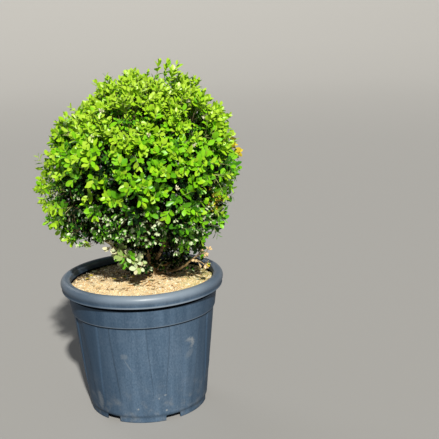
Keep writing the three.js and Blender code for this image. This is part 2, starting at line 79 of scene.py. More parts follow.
def round_turn(count):
    """Angles spread evenly over a full turn."""
    return np.arange(count) * 2 * math.pi / count


def across_from(ways):
    """A direction across each way, whichever way it points."""
    helper = np.where(np.abs(ways[..., 2:3]) < 0.9, [0.0, 0.0, 1.0], [1.0, 0.0, 0.0])
    return unit(np.cross(ways, helper))


print("front is", direction(0, 0), "and right is", direction(90, 0).round(3))

# %% [markdown]
# Every piece here is made from corners and faces that the code works out. Blender takes such lists fastest
# as flat arrays, so one helper turns corners, four-sided faces and triangles into a piece with its materials.


# %% A piece from corners and faces
def new_piece(name, corners, quads, triangles, materials, slots=None, smooth=True):
    """Makes a mesh object. slots gives each face's material, quads first and then triangles."""
    quads = np.asarray(quads, np.int32).reshape(-1, 4)
    triangles = np.asarray(triangles, np.int32).reshape(-1, 3)
    sizes = np.concatenate([np.full(len(quads), 4), np.full(len(triangles), 3)]).astype(np.int32)
    mesh = bpy.data.meshes.new(name)
    mesh.vertices.add(len(corners))
    mesh.vertices.foreach_set("co", np.asarray(corners, np.float32).ravel())
    mesh.loops.add(int(sizes.sum()))
    mesh.loops.foreach_set("vertex_index", np.concatenate([quads.ravel(), triangles.ravel()]))
    mesh.polygons.add(len(sizes))
    mesh.polygons.foreach_set("loop_start", np.cumsum(sizes) - sizes)
    for material in materials:
        mesh.materials.append(material)
    if slots is not None:
        mesh.polygons.foreach_set("material_index", np.asarray(slots, np.int32))
    mesh.polygons.foreach_set("use_smooth", np.full(len(sizes), smooth))
    mesh.update(calc_edges=True)
    mesh.validate()
    piece = bpy.data.objects.new(name, mesh)
    bpy.context.scene.collection.objects.link(piece)
    return piece


def settle(piece, nodes):
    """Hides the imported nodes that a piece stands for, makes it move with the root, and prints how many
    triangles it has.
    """
    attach(piece, "root")
    if nodes:
        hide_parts(*nodes)
    piece.data.calc_loop_triangles()
    print(piece.name, "has", len(piece.data.loop_triangles), "triangles")


print("mesh tools are ready")

# %% [markdown]
# A finish is a small network of nodes. This class keeps such networks short: most methods add one node, link
# what they are given, and hand back the new node's output. Colours are laid over each other like thin coats
# of paint, each where its own mask lets it through, which is how dust and wear build up on real things.


# %% A short way to build finishes
def rgb(red, green, blue):
    return (red, green, blue, 1.0)


class Finish:
    """One material and its nodes, with a short method for each kind of node that the finishes need."""

    def __init__(self, name, roughness):
        self.material = bpy.data.materials.new(name)
        self.material.use_nodes = True
        self.nodes = self.material.node_tree.nodes
        self.links = self.material.node_tree.links
        self.shader = self.nodes["Principled BSDF"]
        self.shader.inputs["Roughness"].default_value = roughness

    def put(self, socket, value):
        if isinstance(value, bpy.types.NodeSocket):
            self.links.new(value, socket)
        elif value is not None:
            socket.default_value = value

    def add(self, kind, output=0, **inputs):
        node = self.nodes.new(kind)
        for key, value in inputs.items():
            self.put(node.inputs[key], value)
        return node.outputs[output]

    def sum(self, operation, first, second=None, third=None):
        node = self.nodes.new("ShaderNodeMath")
        node.operation = operation
        for socket, value in zip(node.inputs, (first, second, third)):
            self.put(socket, value)
        return node.outputs[0]

    def plus(self, first, second):
        return self.sum("ADD", first, second)

    def minus(self, first, second):
        return self.sum("SUBTRACT", first, second)

    def times(self, first, second):
        return self.sum("MULTIPLY", first, second)

    def place(self):
        return self.add("ShaderNodeTexCoord", "Object")

    def axes(self, vector):
        """A place's distance across, its depth and its height."""
        node = self.nodes.new("ShaderNodeSeparateXYZ")
        self.put(node.inputs[0], vector)
        return node.outputs

    def stretch(self, vector, x, y, z):
        return self.add("ShaderNodeMapping", Vector=vector, Scale=(x, y, z))

    def grain(self, vector, scale, detail=4.0, roughness=0.55):
        return self.add("ShaderNodeTexNoise", Vector=vector, Scale=scale, Detail=detail, Roughness=roughness)

    def between(self, value, low, high, from_value=0.0, to_value=1.0):
        node = self.nodes.new("ShaderNodeMapRange")
        node.interpolation_type = "SMOOTHSTEP"
        for socket, given in zip(node.inputs, (value, low, high, from_value, to_value)):
            self.put(socket, given)
        return node.outputs[0]

    def band(self, value, low, low_full, high_full, high):
        """A mask that rises between the first two values and falls between the last two."""
        return self.minus(self.between(value, low, low_full), self.between(value, high_full, high))

    def blend(self, share, first, second):
        node = self.nodes.new("ShaderNodeMix")
        node.data_type = "RGBA"
        self.put(node.inputs["Factor"], share)
        self.put(node.inputs[6], first)
        self.put(node.inputs[7], second)
        return node.outputs[2]

    def coats(self, tone, coats):
        """Lays colours over a tone one after the other, each where its mask says."""
        for mask, colour in coats:
            tone = self.blend(mask, tone, rgb(*colour))
        return tone

    def colour(self, value):
        self.put(self.shader.inputs["Base Color"], value)

    def rough(self, value):
        self.put(self.shader.inputs["Roughness"], value)

    def bump(self, height, strength, distance):
        raised = self.add("ShaderNodeBump", Height=height, Strength=strength, Distance=distance)
        self.links.new(raised, self.shader.inputs["Normal"])


print("finish tools are ready")

# %% [markdown]
# The pot is one moulded shell: a foot with six notches, a wall with twelve raised panels, a plain collar and
# a rolled rim. A lathe shape would lose the panels, so the wall is a grid of rings whose radius changes
# with the angle. The outline is one line, from the middle of the underside out, over the rim and back in.

# %% The pot's sizes
POT_HEIGHT = 0.417
WALL = 0.004
RIM_RADIUS = 0.250
RIM_ROLL = 0.0165
BEAD_Z = 0.3823
BEAD_RADIUS = 0.2455
BEAD_ROLL = 0.0017
COLLAR_TOP_RADIUS = 0.2325
COLLAR_TOP_Z = 0.389
COLLAR_LOW_RADIUS = 0.2225
COLLAR_LOW_Z = 0.313
WALL_TOP_RADIUS = 0.2160
WALL_LOW_RADIUS = 0.185
FOOT_RADIUS = 0.182
FOOT_HEIGHT = 0.020
FLOOR_Z = 0.024
HUB_RADIUS = 0.045
SMALL_BEND = 0.002
PANELS = 12
PANEL_RISE = 0.003
PANEL_ANGLE = 15 * DEGREE
PANEL_EDGE = 0.4 * DEGREE
PANEL_HALF_LOW = 5.5
PANEL_HALF_TOP = 9.2
NOTCHES = 6
NOTCH_ANGLE = 28 * DEGREE
NOTCH_WIDTH = 0.048
NOTCH_HEIGHT = 0.017
DRAIN_RADIUS = 0.009
DRAIN_PLACE = FOOT_RADIUS * 0.66
DRAIN_SIDES = 24


def wall_radius(z):
    return lerp(WALL_LOW_RADIUS, WALL_TOP_RADIUS, (z - FOOT_HEIGHT) / (COLLAR_LOW_Z - FOOT_HEIGHT))


def panel_half_width(z):
    """Half of a panel's width, as an angle, which grows from the foot to the collar."""
    return lerp(PANEL_HALF_LOW, PANEL_HALF_TOP, smoothstep(z, 0.060, 0.300)) * DEGREE


def panel_share(from_middle, z):
    """How far the raised panels stand out at a place on the wall, from 0 to 1."""
    half_width = panel_half_width(z)
    across = 1 - smoothstep(from_middle, half_width - PANEL_EDGE, half_width + PANEL_EDGE)
    return across * smoothstep(z, 0.036, 0.150)


def arc(radius, z, size, start, end, steps):
    """Points on a round bend in the outline, from one angle to another in degrees."""
    turns = np.linspace(start, end, steps + 1) * DEGREE
    return [(radius + size * math.cos(turn), z + size * math.sin(turn)) for turn in turns]


def pot_outline():
    """Radius and height of each point, from the middle of the underside round to the middle inside."""
    roof = FLOOR_Z - WALL
    skirt = FOOT_RADIUS - WALL
    under = [(0, 0), (0.02, 0), (HUB_RADIUS - 0.002, 0), (HUB_RADIUS, 0.001), (HUB_RADIUS + 0.003, roof)]
    under += [(0.08, roof), (0.13, roof), (skirt - 0.002, roof), (skirt, roof - 0.002)]
    under += arc(skirt + SMALL_BEND, SMALL_BEND, SMALL_BEND, 180, 360, 6)
    foot = [(FOOT_RADIUS + 0.0004, 0.010), (FOOT_RADIUS + 0.0005, FOOT_HEIGHT - 0.001)]
    wall = [(wall_radius(z), z) for z in np.linspace(FOOT_HEIGHT + 0.001, COLLAR_LOW_Z - 0.001, 40)]
    collar = arc(COLLAR_LOW_RADIUS - SMALL_BEND, COLLAR_LOW_Z + SMALL_BEND, SMALL_BEND, -90, 0, 4)
    for share in (0.3, 0.6, 1):
        radius = lerp(COLLAR_LOW_RADIUS, COLLAR_TOP_RADIUS, share)
        collar.append((radius, lerp(COLLAR_LOW_Z + 0.003, COLLAR_TOP_Z, share)))
    rim_shadow_band = [(COLLAR_TOP_RADIUS + 0.0005, 0.3925), (COLLAR_TOP_RADIUS + 0.004, 0.3935)]
    rim_shadow_band += [(0.2405, 0.3930), (0.2430, 0.3900)]
    bead = arc(BEAD_RADIUS, BEAD_Z, BEAD_ROLL, 180, 380, 8)
    rim = [(0.2468, 0.3870)]
    rim += arc(RIM_RADIUS - RIM_ROLL, POT_HEIGHT - RIM_ROLL, RIM_ROLL, -24, 142, 20)
    inside = [(0.2215, 0.404), (0.2200, 0.390), (0.2150, 0.316), (0.2095, 0.306)]
    inside += [(WALL_LOW_RADIUS - WALL, FLOOR_Z), (0.09, FLOOR_Z), (0, FLOOR_Z)]
    return np.array(under + foot + wall + collar + rim_shadow_band + bead + rim + inside)


outline = pot_outline()
print("the outline has", len(outline), "points, and the widest is", outline[:, 0].max())

# %% [markdown]
# The columns of the grid bend with the edges of the panels and lie close together there, so the edges come
# out crisp with few faces. The first and last rows lie on the axis, and one corner each closes the shell.

# %% The pot's shell
PITCH = 2 * math.pi / PANELS
ACROSS_PANEL = 12
ACROSS_EDGE = 4
COLUMNS_PER_PITCH = 2 * (ACROSS_PANEL + ACROSS_EDGE)
POT_COLUMNS = PANELS * COLUMNS_PER_PITCH


def column_offsets(z):
    """Angles of one pitch's columns from the middle of its panel, at a height."""
    half = float(panel_half_width(z))
    next_half = PITCH - half
    first, second, third = ACROSS_PANEL, ACROSS_PANEL + ACROSS_EDGE, 2 * ACROSS_PANEL + ACROSS_EDGE
    knots = [0, first, second, third, COLUMNS_PER_PITCH]
    edges = [PANEL_EDGE - half, half - PANEL_EDGE, half + PANEL_EDGE]
    edges += [next_half - PANEL_EDGE, next_half + PANEL_EDGE]
    return np.interp(np.arange(COLUMNS_PER_PITCH), knots, edges)


def grid_faces(rows, columns):
    """Four-sided faces between rows of corners that each close into a ring."""
    column = np.arange(columns)
    after = (column + 1) % columns
    base = np.arange(rows - 1)[:, None] * columns
    above = base + columns
    return np.stack([base + column, base + after, above + after, above + column], axis=2).reshape(-1, 4)


def shell_faces(rows, columns):
    """Faces of a shell of rings that one corner closes at each end. Both corners come after the rings."""
    column = np.arange(columns)
    after = (column + 1) % columns
    last = (rows - 1) * columns
    first_end = rows * columns
    under = np.stack([np.full(columns, first_end), after, column], axis=1)
    over = np.stack([np.full(columns, first_end + 1), last + column, last + after], axis=1)
    return grid_faces(rows, columns), np.concatenate([under, over])


def pot_shell():
    rows = outline[1:-1]
    offsets = np.array([column_offsets(z) for z in rows[:, 1]])
    turns = PANEL_ANGLE + np.arange(PANELS) * PITCH
    angles = (turns[None, :, None] + offsets[:, None, :]).reshape(len(rows), POT_COLUMNS)
    from_middle = np.abs(offsets)
    from_middle = np.minimum(from_middle, PITCH - from_middle)
    from_middle = np.tile(from_middle, (1, PANELS))
    radius, z = (np.repeat(rows[:, axis, None], POT_COLUMNS, axis=1) for axis in (0, 1))
    on_wall = (z > FOOT_HEIGHT) & (z < COLLAR_LOW_Z) & (np.abs(radius - wall_radius(z)) < 1e-6)
    radius = radius + on_wall * PANEL_RISE * panel_share(from_middle, z)
    sway = 0.0006 * np.sin(3 * angles + 1.1) + 0.0004 * np.sin(7 * angles)
    radius = radius + sway * (z > 0.1) * (radius > 0.2)
    rings = np.stack([radius * np.sin(angles), -radius * np.cos(angles), z], axis=-1).reshape(-1, 3)
    corners = np.vstack([rings, (0, 0, outline[0, 1]), (0, 0, outline[-1, 1])])
    return corners, *shell_faces(len(rows), POT_COLUMNS)


corners, quads, triangles = pot_shell()
print("the shell has", len(corners), "corners")

# %% [markdown]
# The plastic is a bluish dark grey that the weather has dulled. It shows faint upright streaks, a fine mottle,
# dust that has settled low on the wall, and a few white specks. Painted shade makes it darker towards the
# sides, away from the light, and a painted highlight, with some real wear, makes the top of the rim lighter
# round the front. All of it is worked out from the height and the angle round the pot, so every mark has its
# place and none of it is a picture.

# %% The pot's plastic
WALL_PER_RADIAN = 0.2
SUNNY_SIDE = 0.26
PAINTED_SHADE_BLUE = (0.018, 0.042, 0.080)

plastic = Finish("pot plastic", 0.42)
across, depth, height = plastic.axes(plastic.place())
round_angle = plastic.sum("ARCTAN2", across, plastic.times(depth, -1.0))
along_wall = plastic.times(round_angle, WALL_PER_RADIAN)
flat = plastic.add("ShaderNodeCombineXYZ", X=along_wall, Y=height)

streaks = plastic.grain(plastic.stretch(flat, 38.0, 4.0, 1.0), 1.0, 5.0)
cloud = plastic.grain(flat, 14.0, 5.0, 0.6)
mottle = plastic.grain(plastic.stretch(flat, 1.0, 0.55, 1.0), 230.0, 4.0, 0.7)
patchy = plastic.between(plastic.grain(flat, 26.0, 6.0, 0.65), 0.47, 0.72)
specks = plastic.between(plastic.grain(flat, 420.0, 2.0, 0.5), 0.735, 0.80, 0.0, 0.55)
low_dust = plastic.between(height, 0.02, 0.17, 0.38, 0.0)
# Painted shade: the wall turns darker towards the sides, away from the light, and eases off again at the back.
from_sun = plastic.sum("ABSOLUTE", plastic.minus(round_angle, SUNNY_SIDE))
painted_side_shade = plastic.between(from_sun, 0.22, 1.15, 0.0, 0.72)
painted_side_shade = plastic.minus(painted_side_shade, plastic.between(from_sun, 1.5, 2.3, 0.0, 0.45))
# Painted highlight along the top of the rim, strongest at the front, with some real wear.
rim_top = plastic.between(height, 0.386, 0.414)
rim_top_highlight_and_wear = plastic.times(rim_top, plastic.between(from_sun, 0.30, 0.95, 1.0, 0.28))

tone = plastic.blend(plastic.between(streaks, 0.30, 0.74), rgb(0.060, 0.103, 0.164), rgb(0.104, 0.165, 0.248))
tone = plastic.coats(tone, (
    (plastic.between(cloud, 0.42, 0.72, 0.0, 0.45), (0.122, 0.175, 0.250)),
    (plastic.between(mottle, 0.36, 0.50, 0.46, 0.0), (0.040, 0.074, 0.122)),
    (plastic.between(mottle, 0.52, 0.70, 0.0, 0.45), (0.170, 0.225, 0.300)),
    # Painted shade on the wall just below the collar's lower edge.
    (plastic.between(height, 0.309, 0.314, 0.0, 0.14), PAINTED_SHADE_BLUE),
    (painted_side_shade, PAINTED_SHADE_BLUE),
    (rim_top_highlight_and_wear, (0.225, 0.280, 0.345)),
    (plastic.times(low_dust, patchy), (0.27, 0.28, 0.28)),
    (specks, (0.42, 0.43, 0.42)),
))
print("the plain plastic has", len(plastic.nodes), "nodes")

# %% [markdown]
# A pot gets rubbed when it is moved. The plainest mark is a pale crescent on a panel, which is one oval with
# a second oval taken away. The rest are small ovals, listed by their place, size, lean and strength. Noise
# eats into each edge, because a real scuff has no clean outline. The last four are on the sides and the back.


# %% Rubbed marks
def rub(angle, z, width, tall, lean=0.0):
    """A mask that is 1 in a ragged oval on the wall. Angles are in degrees, and sizes in metres."""
    aside = plastic.minus(along_wall, angle * DEGREE * WALL_PER_RADIAN)
    above = plastic.minus(height, z)
    turned = plastic.plus(aside, plastic.times(above, lean))
    far = plastic.sum("POWER", plastic.sum("DIVIDE", turned, width), 2.0)
    far = plastic.plus(far, plastic.sum("POWER", plastic.sum("DIVIDE", above, tall), 2.0))
    ragged = plastic.grain(flat, 160.0, 3.0)
    far = plastic.plus(far, plastic.times(ragged, 1.4))
    return plastic.between(far, 0.7, 1.7, 1.0, 0.0)


crescent = plastic.minus(rub(42.5, 0.240, 0.024, 0.021), rub(40.7, 0.237, 0.021, 0.017))
marks = plastic.times(plastic.sum("MAXIMUM", crescent, 0.0), 0.75)
for angle, z, width, tall, lean, share in (
    (43.0, 0.206, 0.018, 0.018, -0.4, 0.16),
    (-13.0, 0.222, 0.015, 0.012, 0.0, 0.20),
    (-10.6, 0.194, 0.0028, 0.032, 0.5, 0.20),
    (-45.0, 0.060, 0.016, 0.034, 0.0, 0.30),
    (-5.2, 0.047, 0.004, 0.004, 0.0, 0.75),
    (20.8, 0.036, 0.004, 0.005, 0.0, 0.75),
    (20.0, 0.088, 0.006, 0.004, 0.3, 0.50),
    (14.0, 0.079, 0.004, 0.004, 0.0, 0.55),
    (150.0, 0.170, 0.016, 0.020, 0.3, 0.35),
    (-120.0, 0.230, 0.008, 0.030, -0.4, 0.40),
    (100.0, 0.070, 0.022, 0.030, 0.0, 0.40),
    (-155.0, 0.090, 0.015, 0.020, 0.2, 0.35),
):
    marks = plastic.sum("MAXIMUM", marks, plastic.times(rub(angle, z, width, tall, lean), share))
print("with its marks it has", len(plastic.nodes), "nodes")

# %% [markdown]
# Edges are where a finish tells most. The collar's lower lip and the bead under the rim get painted highlights
# as pale lines, and painted shadow lies near black beside them: the rim's cast shadow on the collar, and a thin
# line under the collar's lip. Each is a band of heights. The painted shadow under the rim lies only on the
# collar's side of the bead, which the distance from the pot's middle tells. The worn rim is glossier than the
# wall, and the painted shadow has almost no gloss.

# %% Edges, painted highlights, painted shadow and gloss
SHADE_FULL_RADIUS = 0.2385
SHADE_END_RADIUS = 0.2410

# Painted highlight: a pale line along the collar's lower lip.
lip_highlight = plastic.band(height, 0.3125, 0.3140, 0.3150, 0.3175)
squared_radius = plastic.plus(plastic.sum("POWER", across, 2.0), plastic.sum("POWER", depth, 2.0))
inward = plastic.between(squared_radius, SHADE_FULL_RADIUS**2, SHADE_END_RADIUS**2, 1.0, 0.0)
# Painted highlight: a pale line on the bead under the rim, strongest towards the light.
bead_highlight = plastic.band(height, BEAD_Z - 0.002, BEAD_Z - 0.001, BEAD_Z + 0.002, BEAD_Z + 0.005)
bead_highlight = plastic.times(bead_highlight, plastic.minus(1.0, inward))
bead_highlight = plastic.times(bead_highlight, plastic.between(from_sun, 0.30, 0.80, 0.70, 0.22))
# Painted shadow: the rim's cast shadow on the collar and a thin line under the collar's lip, both near black.
rim_shadow_band = plastic.band(height, 0.3665, 0.3685, 0.3935, 0.3950)
lip_shadow_line = plastic.band(height, 0.3085, 0.3095, 0.3120, 0.3128)
painted_shade = plastic.sum("MAXIMUM", plastic.times(rim_shadow_band, inward), plastic.times(lip_shadow_line, 0.85))
tone = plastic.coats(tone, (
    (marks, (0.34, 0.36, 0.37)),
    (plastic.times(lip_highlight, 0.45), (0.22, 0.26, 0.31)),
    (bead_highlight, (0.26, 0.31, 0.37)),
    (plastic.times(painted_shade, 0.96), (0.004, 0.005, 0.007)),
))
plastic.colour(tone)

gloss = plastic.plus(plastic.times(rim_top, 0.50), 0.13)
plastic.put(plastic.shader.inputs["Specular IOR Level"], plastic.times(gloss, plastic.minus(1.0, painted_shade)))
satin = plastic.between(cloud, 0.3, 0.7, 0.50, 0.62)
plastic.rough(plastic.minus(satin, plastic.times(rim_top, 0.18)))
fine = plastic.grain(flat, 900.0, 3.0)
plastic.bump(plastic.plus(fine, streaks), 0.25, 0.0004)
print("the finished plastic has", len(plastic.nodes), "nodes")

# %% [markdown]
# The notches in the foot and the drain holes are cut through the finished shell, as a mould's inserts leave
# them. A boolean does that cleanly, with cutters that are a little deeper than the wall. The ribs under the
# floor are plain bars from the hub to the skirt.


# %% Notches, drains and ribs
def end_caps(sides, steps):
    """Triangles that close both ends of a tube."""
    fan = np.arange(1, sides - 1)
    low = np.stack([np.zeros(sides - 2, int), fan + 1, fan], axis=1)
    high = steps * sides + np.stack([np.zeros(sides - 2, int), fan, fan + 1], axis=1)
    return np.concatenate([low, high])


def block(ends):
    """A solid between two rings of corners."""
    sides = len(ends[0])
    return np.vstack(ends), grid_faces(2, sides), end_caps(sides, 1)


def bar(from_radius, to_radius, width, from_z, to_z, angle, rounding):
    """A bar along the radius, with the two long upper edges rounded off."""
    half = width / 2
    section = [(-half, from_z), (half, from_z)]
    section += arc(half - rounding, to_z - rounding, rounding, 0, 90, 3)
    section += arc(-half + rounding, to_z - rounding, rounding, 90, 180, 3)
    across, z = np.array(section).T
    ends = []
    for radius in (from_radius, to_radius):
        x = radius * math.sin(angle) + across * math.cos(angle)
        y = -radius * math.cos(angle) + across * math.sin(angle)
        ends.append(np.stack([x, y, z], axis=1))
    return block(ends)


def drain(angle):
    """A round cutter through the floor."""
    turns = round_turn(DRAIN_SIDES)
    x = DRAIN_PLACE * math.sin(angle) + DRAIN_RADIUS * np.cos(turns)
    y = -DRAIN_PLACE * math.cos(angle) + DRAIN_RADIUS * np.sin(turns)
    low = np.stack([x, y, np.full(DRAIN_SIDES, FLOOR_Z - 3 * WALL)], axis=1)
    return block([low, low + [0, 0, 5 * WALL]])


def gather(parts):
    """Joins lists of corners, quads and triangles into one."""
    offset = 0
    all_corners, all_quads, all_triangles = [], [], []
    for some_corners, some_quads, some_triangles in parts:
        all_corners.append(some_corners)
        all_quads.append(np.asarray(some_quads, np.int64).reshape(-1, 4) + offset)
        all_triangles.append(np.asarray(some_triangles, np.int64).reshape(-1, 3) + offset)
        offset += len(some_corners)
    return np.vstack(all_corners), np.concatenate(all_quads), np.concatenate(all_triangles)


def cut(piece, cutter):
    modifier = piece.modifiers.new("cut", "BOOLEAN")
    modifier.operation = "DIFFERENCE"
    modifier.solver = "EXACT"
    modifier.object = cutter
    cleaned = bpy.data.meshes.new_from_object(piece.evaluated_get(bpy.context.evaluated_depsgraph_get()))
    piece.modifiers.clear()
    piece.data = cleaned
    bpy.data.objects.remove(cutter)


notch_angles = [NOTCH_ANGLE + turn * 2 * math.pi / NOTCHES for turn in range(NOTCHES)]
notch_from, notch_to = FOOT_RADIUS - 0.025, FOOT_RADIUS + 0.015
notches = [
    bar(notch_from, notch_to, NOTCH_WIDTH, -0.005, NOTCH_HEIGHT, angle, 0.004) for angle in notch_angles
]
cutters = gather(notches + [drain(angle) for angle in notch_angles])
cutter = new_piece("cutter", *cutters, [plastic.material])
pot_piece = new_piece("nursery_pot", corners, quads, triangles, [plastic.material])
cut(pot_piece, cutter)
ribs = [
    bar(HUB_RADIUS, FOOT_RADIUS - WALL / 2, WALL, 0.008, FLOOR_Z - 0.002, angle + math.pi / NOTCHES, 0.001)
    for angle in notch_angles
]
rib_piece = new_piece("pot_floor_ribs", *gather(ribs), [plastic.material], smooth=False)
settle(pot_piece, ["pot"])
settle(rib_piece, [])

# %% [markdown]
# The soil is dry on top: golden sand with a little shredded bark, heaped a little round the stem. Its surface
# is a polar grid pushed up and down by noise of three sizes, because loose soil has clods, lumps and grains.

# %% The soil's surface
SOIL_EDGE_Z = 0.390
SOIL_TOP_Z = 0.398
SOIL_HEAP_RADIUS = 0.088
SOIL_EDGE_RADIUS = 0.2192
SOIL_UNDER = ((WALL_LOW_RADIUS - WALL - 0.0005, FLOOR_Z + 0.0005), (0.2090, 0.306))
SOIL_RINGS = 90
SOIL_COLUMNS = 300
SOIL_RELIEF = ((22, 3.1, 0.0030), (75, 7.7, 0.0015), (260, 1.3, 0.0010))
STEM_PLACE = (0.032, 0.024)
STEM_HEAP = 0.004
STEM_HEAP_RADIUS = 0.056


def soil_height(x, y):
    """The height of the soil's surface at a place, with its clods, lumps and grains and the stem's heap."""
    slope = float(smoothstep(math.hypot(x, y), SOIL_HEAP_RADIUS, SOIL_EDGE_RADIUS))
    z = lerp(SOIL_TOP_Z, SOIL_EDGE_Z, slope)
    for scale, layer, rise in SOIL_RELIEF:
        z += noise.noise(Vector((x * scale, y * scale, layer))) * rise
    from_stem = math.hypot(x - STEM_PLACE[0], y - STEM_PLACE[1])
    return z + STEM_HEAP * math.exp(-((from_stem / STEM_HEAP_RADIUS) ** 2))


def soil_mesh():
    """The corners and faces of the soil, from the pot's floor up to its surface and in to the middle."""
    angles = round_turn(SOIL_COLUMNS)
    radii = SOIL_EDGE_RADIUS * np.linspace(0, 1, SOIL_RINGS + 1)[:0:-1] ** 0.8
    points = []
    for radius, z in SOIL_UNDER:
        points += [(radius * math.sin(angle), -radius * math.cos(angle), z) for angle in angles]
    for radius in radii:
        for angle in angles:
            x, y = radius * math.sin(angle), -radius * math.cos(angle)
            points.append((x, y, soil_height(x, y)))
    points += [(0, 0, SOIL_UNDER[0][1]), (0, 0, soil_height(0, 0))]
    return np.array(points), *shell_faces(SOIL_RINGS + len(SOIL_UNDER), SOIL_COLUMNS)


print("beside the stem the soil is", round(soil_height(*STEM_PLACE), 4), "high")

# %% [markdown]
# Sand looks golden because grains of straw, ochre and chalk lie mixed, so the colour comes from noise as fine
# as a grain. Behind the stem it is painted dark brown, as damp soil and as painted shade where the crown's
# shadow falls, and it is greenish at the right.

# %% The soil's finish
earth = Finish("dry soil", 0.95)
spot = earth.place()
across, depth, height = earth.axes(spot)
clods = earth.grain(spot, 34.0, 6.0, 0.65)
sand = earth.grain(spot, 400.0, 3.0, 0.7)
wander = earth.times(earth.minus(clods, 0.5), 0.22)
# Painted shade behind the stem, together with damp soil there.
moist_and_shaded = earth.between(earth.plus(depth, wander), -0.035, 0.045, 0.0, 0.85)
green_film = earth.between(earth.plus(across, wander), 0.09, 0.18, 0.0, 0.45)
tone = earth.blend(earth.between(clods, 0.36, 0.58), rgb(0.70, 0.45, 0.20), rgb(0.88, 0.70, 0.40))
earth.colour(earth.coats(tone, (
    (earth.between(sand, 0.48, 0.64, 0.0, 0.85), (0.97, 0.88, 0.64)),
    (earth.between(sand, 0.34, 0.45, 0.65, 0.0), (0.38, 0.22, 0.09)),
    (moist_and_shaded, (0.13, 0.075, 0.035)),
    (green_film, (0.60, 0.58, 0.16)),
)))
earth.bump(earth.plus(clods, sand), 0.7, 0.0012)
soil_piece = new_piece("dry_soil", *soil_mesh(), [earth.material])
settle(soil_piece, ["soil"])

# %% [markdown]
# Crumbs lie loose on the soil. Each is a small stone-like shape with its corners pushed about, and all of
# them are joined into one piece. They make the surface look rough in low light, which bump alone does not.

# %% Crumbs on the soil
CRUMBS = 6500
CRUMB_SIZES = (0.0016, 0.0062)
CRUMB_REACH = 0.213
CRUMB_SHARES = (0.44, 0.27, 0.05, 0.24)
CRUMB_COLOURS = {
    "straw crumb": rgb(0.90, 0.76, 0.48),
    "ochre crumb": rgb(0.78, 0.53, 0.25),
    "bark crumb": rgb(0.36, 0.20, 0.09),
    "chalky crumb": rgb(0.97, 0.90, 0.70),
}
BOX_CORNERS = np.array([(x, y, z) for z in (-1, 1) for y in (-1, 1) for x in (-1, 1)], float)
BOX_FACES = np.array([(0, 2, 3, 1), (4, 5, 7, 6), (0, 1, 5, 4), (2, 6, 7, 3), (0, 4, 6, 2), (1, 3, 7, 5)])


def crumb_shapes(count, seed):
    """The corners of many crumbs, their faces, and the colour of each face."""
    draw = np.random.default_rng(seed)
    radius = CRUMB_REACH * np.sqrt(draw.random(count))
    turn = draw.random(count) * 2 * math.pi
    size = lerp(*CRUMB_SIZES, draw.random(count) ** 4)
    middles = np.stack([radius * np.cos(turn), radius * np.sin(turn), np.zeros(count)], axis=1)
    for middle, reach in zip(middles, size):
        middle[2] = soil_height(middle[0], middle[1]) + reach * 0.12
    pushed = BOX_CORNERS[None] * (0.55 + 0.45 * draw.random((count, 8, 3)))
    shape = pushed * (0.6 + 0.7 * draw.random((count, 1, 3)))
    spin = draw.random(count) * math.pi
    x = shape[:, :, 0] * np.cos(spin)[:, None] - shape[:, :, 1] * np.sin(spin)[:, None]
    y = shape[:, :, 0] * np.sin(spin)[:, None] + shape[:, :, 1] * np.cos(spin)[:, None]
    z = shape[:, :, 2] * 0.6
    points = np.stack([x, y, z], axis=2) * (size / 2)[:, None, None] + middles[:, None, :]
    faces = BOX_FACES[None] + 8 * np.arange(count)[:, None, None]
    slots = draw.choice(len(CRUMB_SHARES), size=count, p=CRUMB_SHARES)
    return points.reshape(-1, 3), faces.reshape(-1, 4), slots.repeat(len(BOX_FACES))


crumb_finishes = []
for name, colour in CRUMB_COLOURS.items():
    finish = Finish(name, 0.95)
    finish.colour(colour)
    finish.bump(finish.grain(finish.place(), 700.0), 0.5, 0.0006)
    crumb_finishes.append(finish.material)

points, faces, slots = crumb_shapes(CRUMBS, 21)
crumb_piece = new_piece("soil_crumbs", points, faces, [], crumb_finishes, slots, smooth=False)
settle(crumb_piece, [])

# %% [markdown]
# The plant stands on one short stem that leans and forks into thin boughs close to the soil. These lines are
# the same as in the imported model: a curve for the trunk from the soil to the middle of the crown, and a curve
# for each bough from its fork to where it enters its mass of leaves.

# %% The lines of the limbs
TRUNK_FOOT = np.array([0.032, 0.024, 0.3983])
TRUNK_TIP = np.array([0.012, 0.0, 0.672])
TRUNK_FLARE_RADIUS = 0.023
TRUNK_RADIUS = 0.014
TRUNK_TIP_RADIUS = 0.0075
CROWN = np.array([0.012, 0.0, 0.722])
CROWN_RADIUS = 0.285
CROWN_FLOOR_Z = 0.480
HOLLOW_RADIUS = 0.074
LOWER_BOUGH_RISE = 0.088
CORE_DEPTH = 0.025
BEND_RISE = 0.4
LOW_BEND_RISE = 0.12


def curve_point(controls, share):
    """A point on a smooth curve through its first and last control points, by repeated halving."""
    points = [np.asarray(control, float) for control in controls]
    while len(points) > 1:
        points = [lerp(one, other, share) for one, other in zip(points, points[1:])]
    return points[0]


TRUNK_STARTS = [0, 0, 0.070]
TRUNK_ENDS = [-0.008, 0.014, -0.110]
trunk_line = [TRUNK_FOOT, TRUNK_FOOT + TRUNK_STARTS, TRUNK_TIP + TRUNK_ENDS, TRUNK_TIP]


def trunk_at(z):
    """The trunk's middle at a share of its length that matches a height."""
    dense = np.array([curve_point(trunk_line, share) for share in np.linspace(0, 1, 201)])
    lengths = np.concatenate([[0], np.cumsum(np.linalg.norm(np.diff(dense, axis=0), axis=1))])
    wanted = lengths[-1] * (z - TRUNK_FOOT[2]) / (TRUNK_TIP[2] - TRUNK_FOOT[2])
    return np.array([np.interp(wanted, lengths, dense[:, axis]) for axis in range(3)])


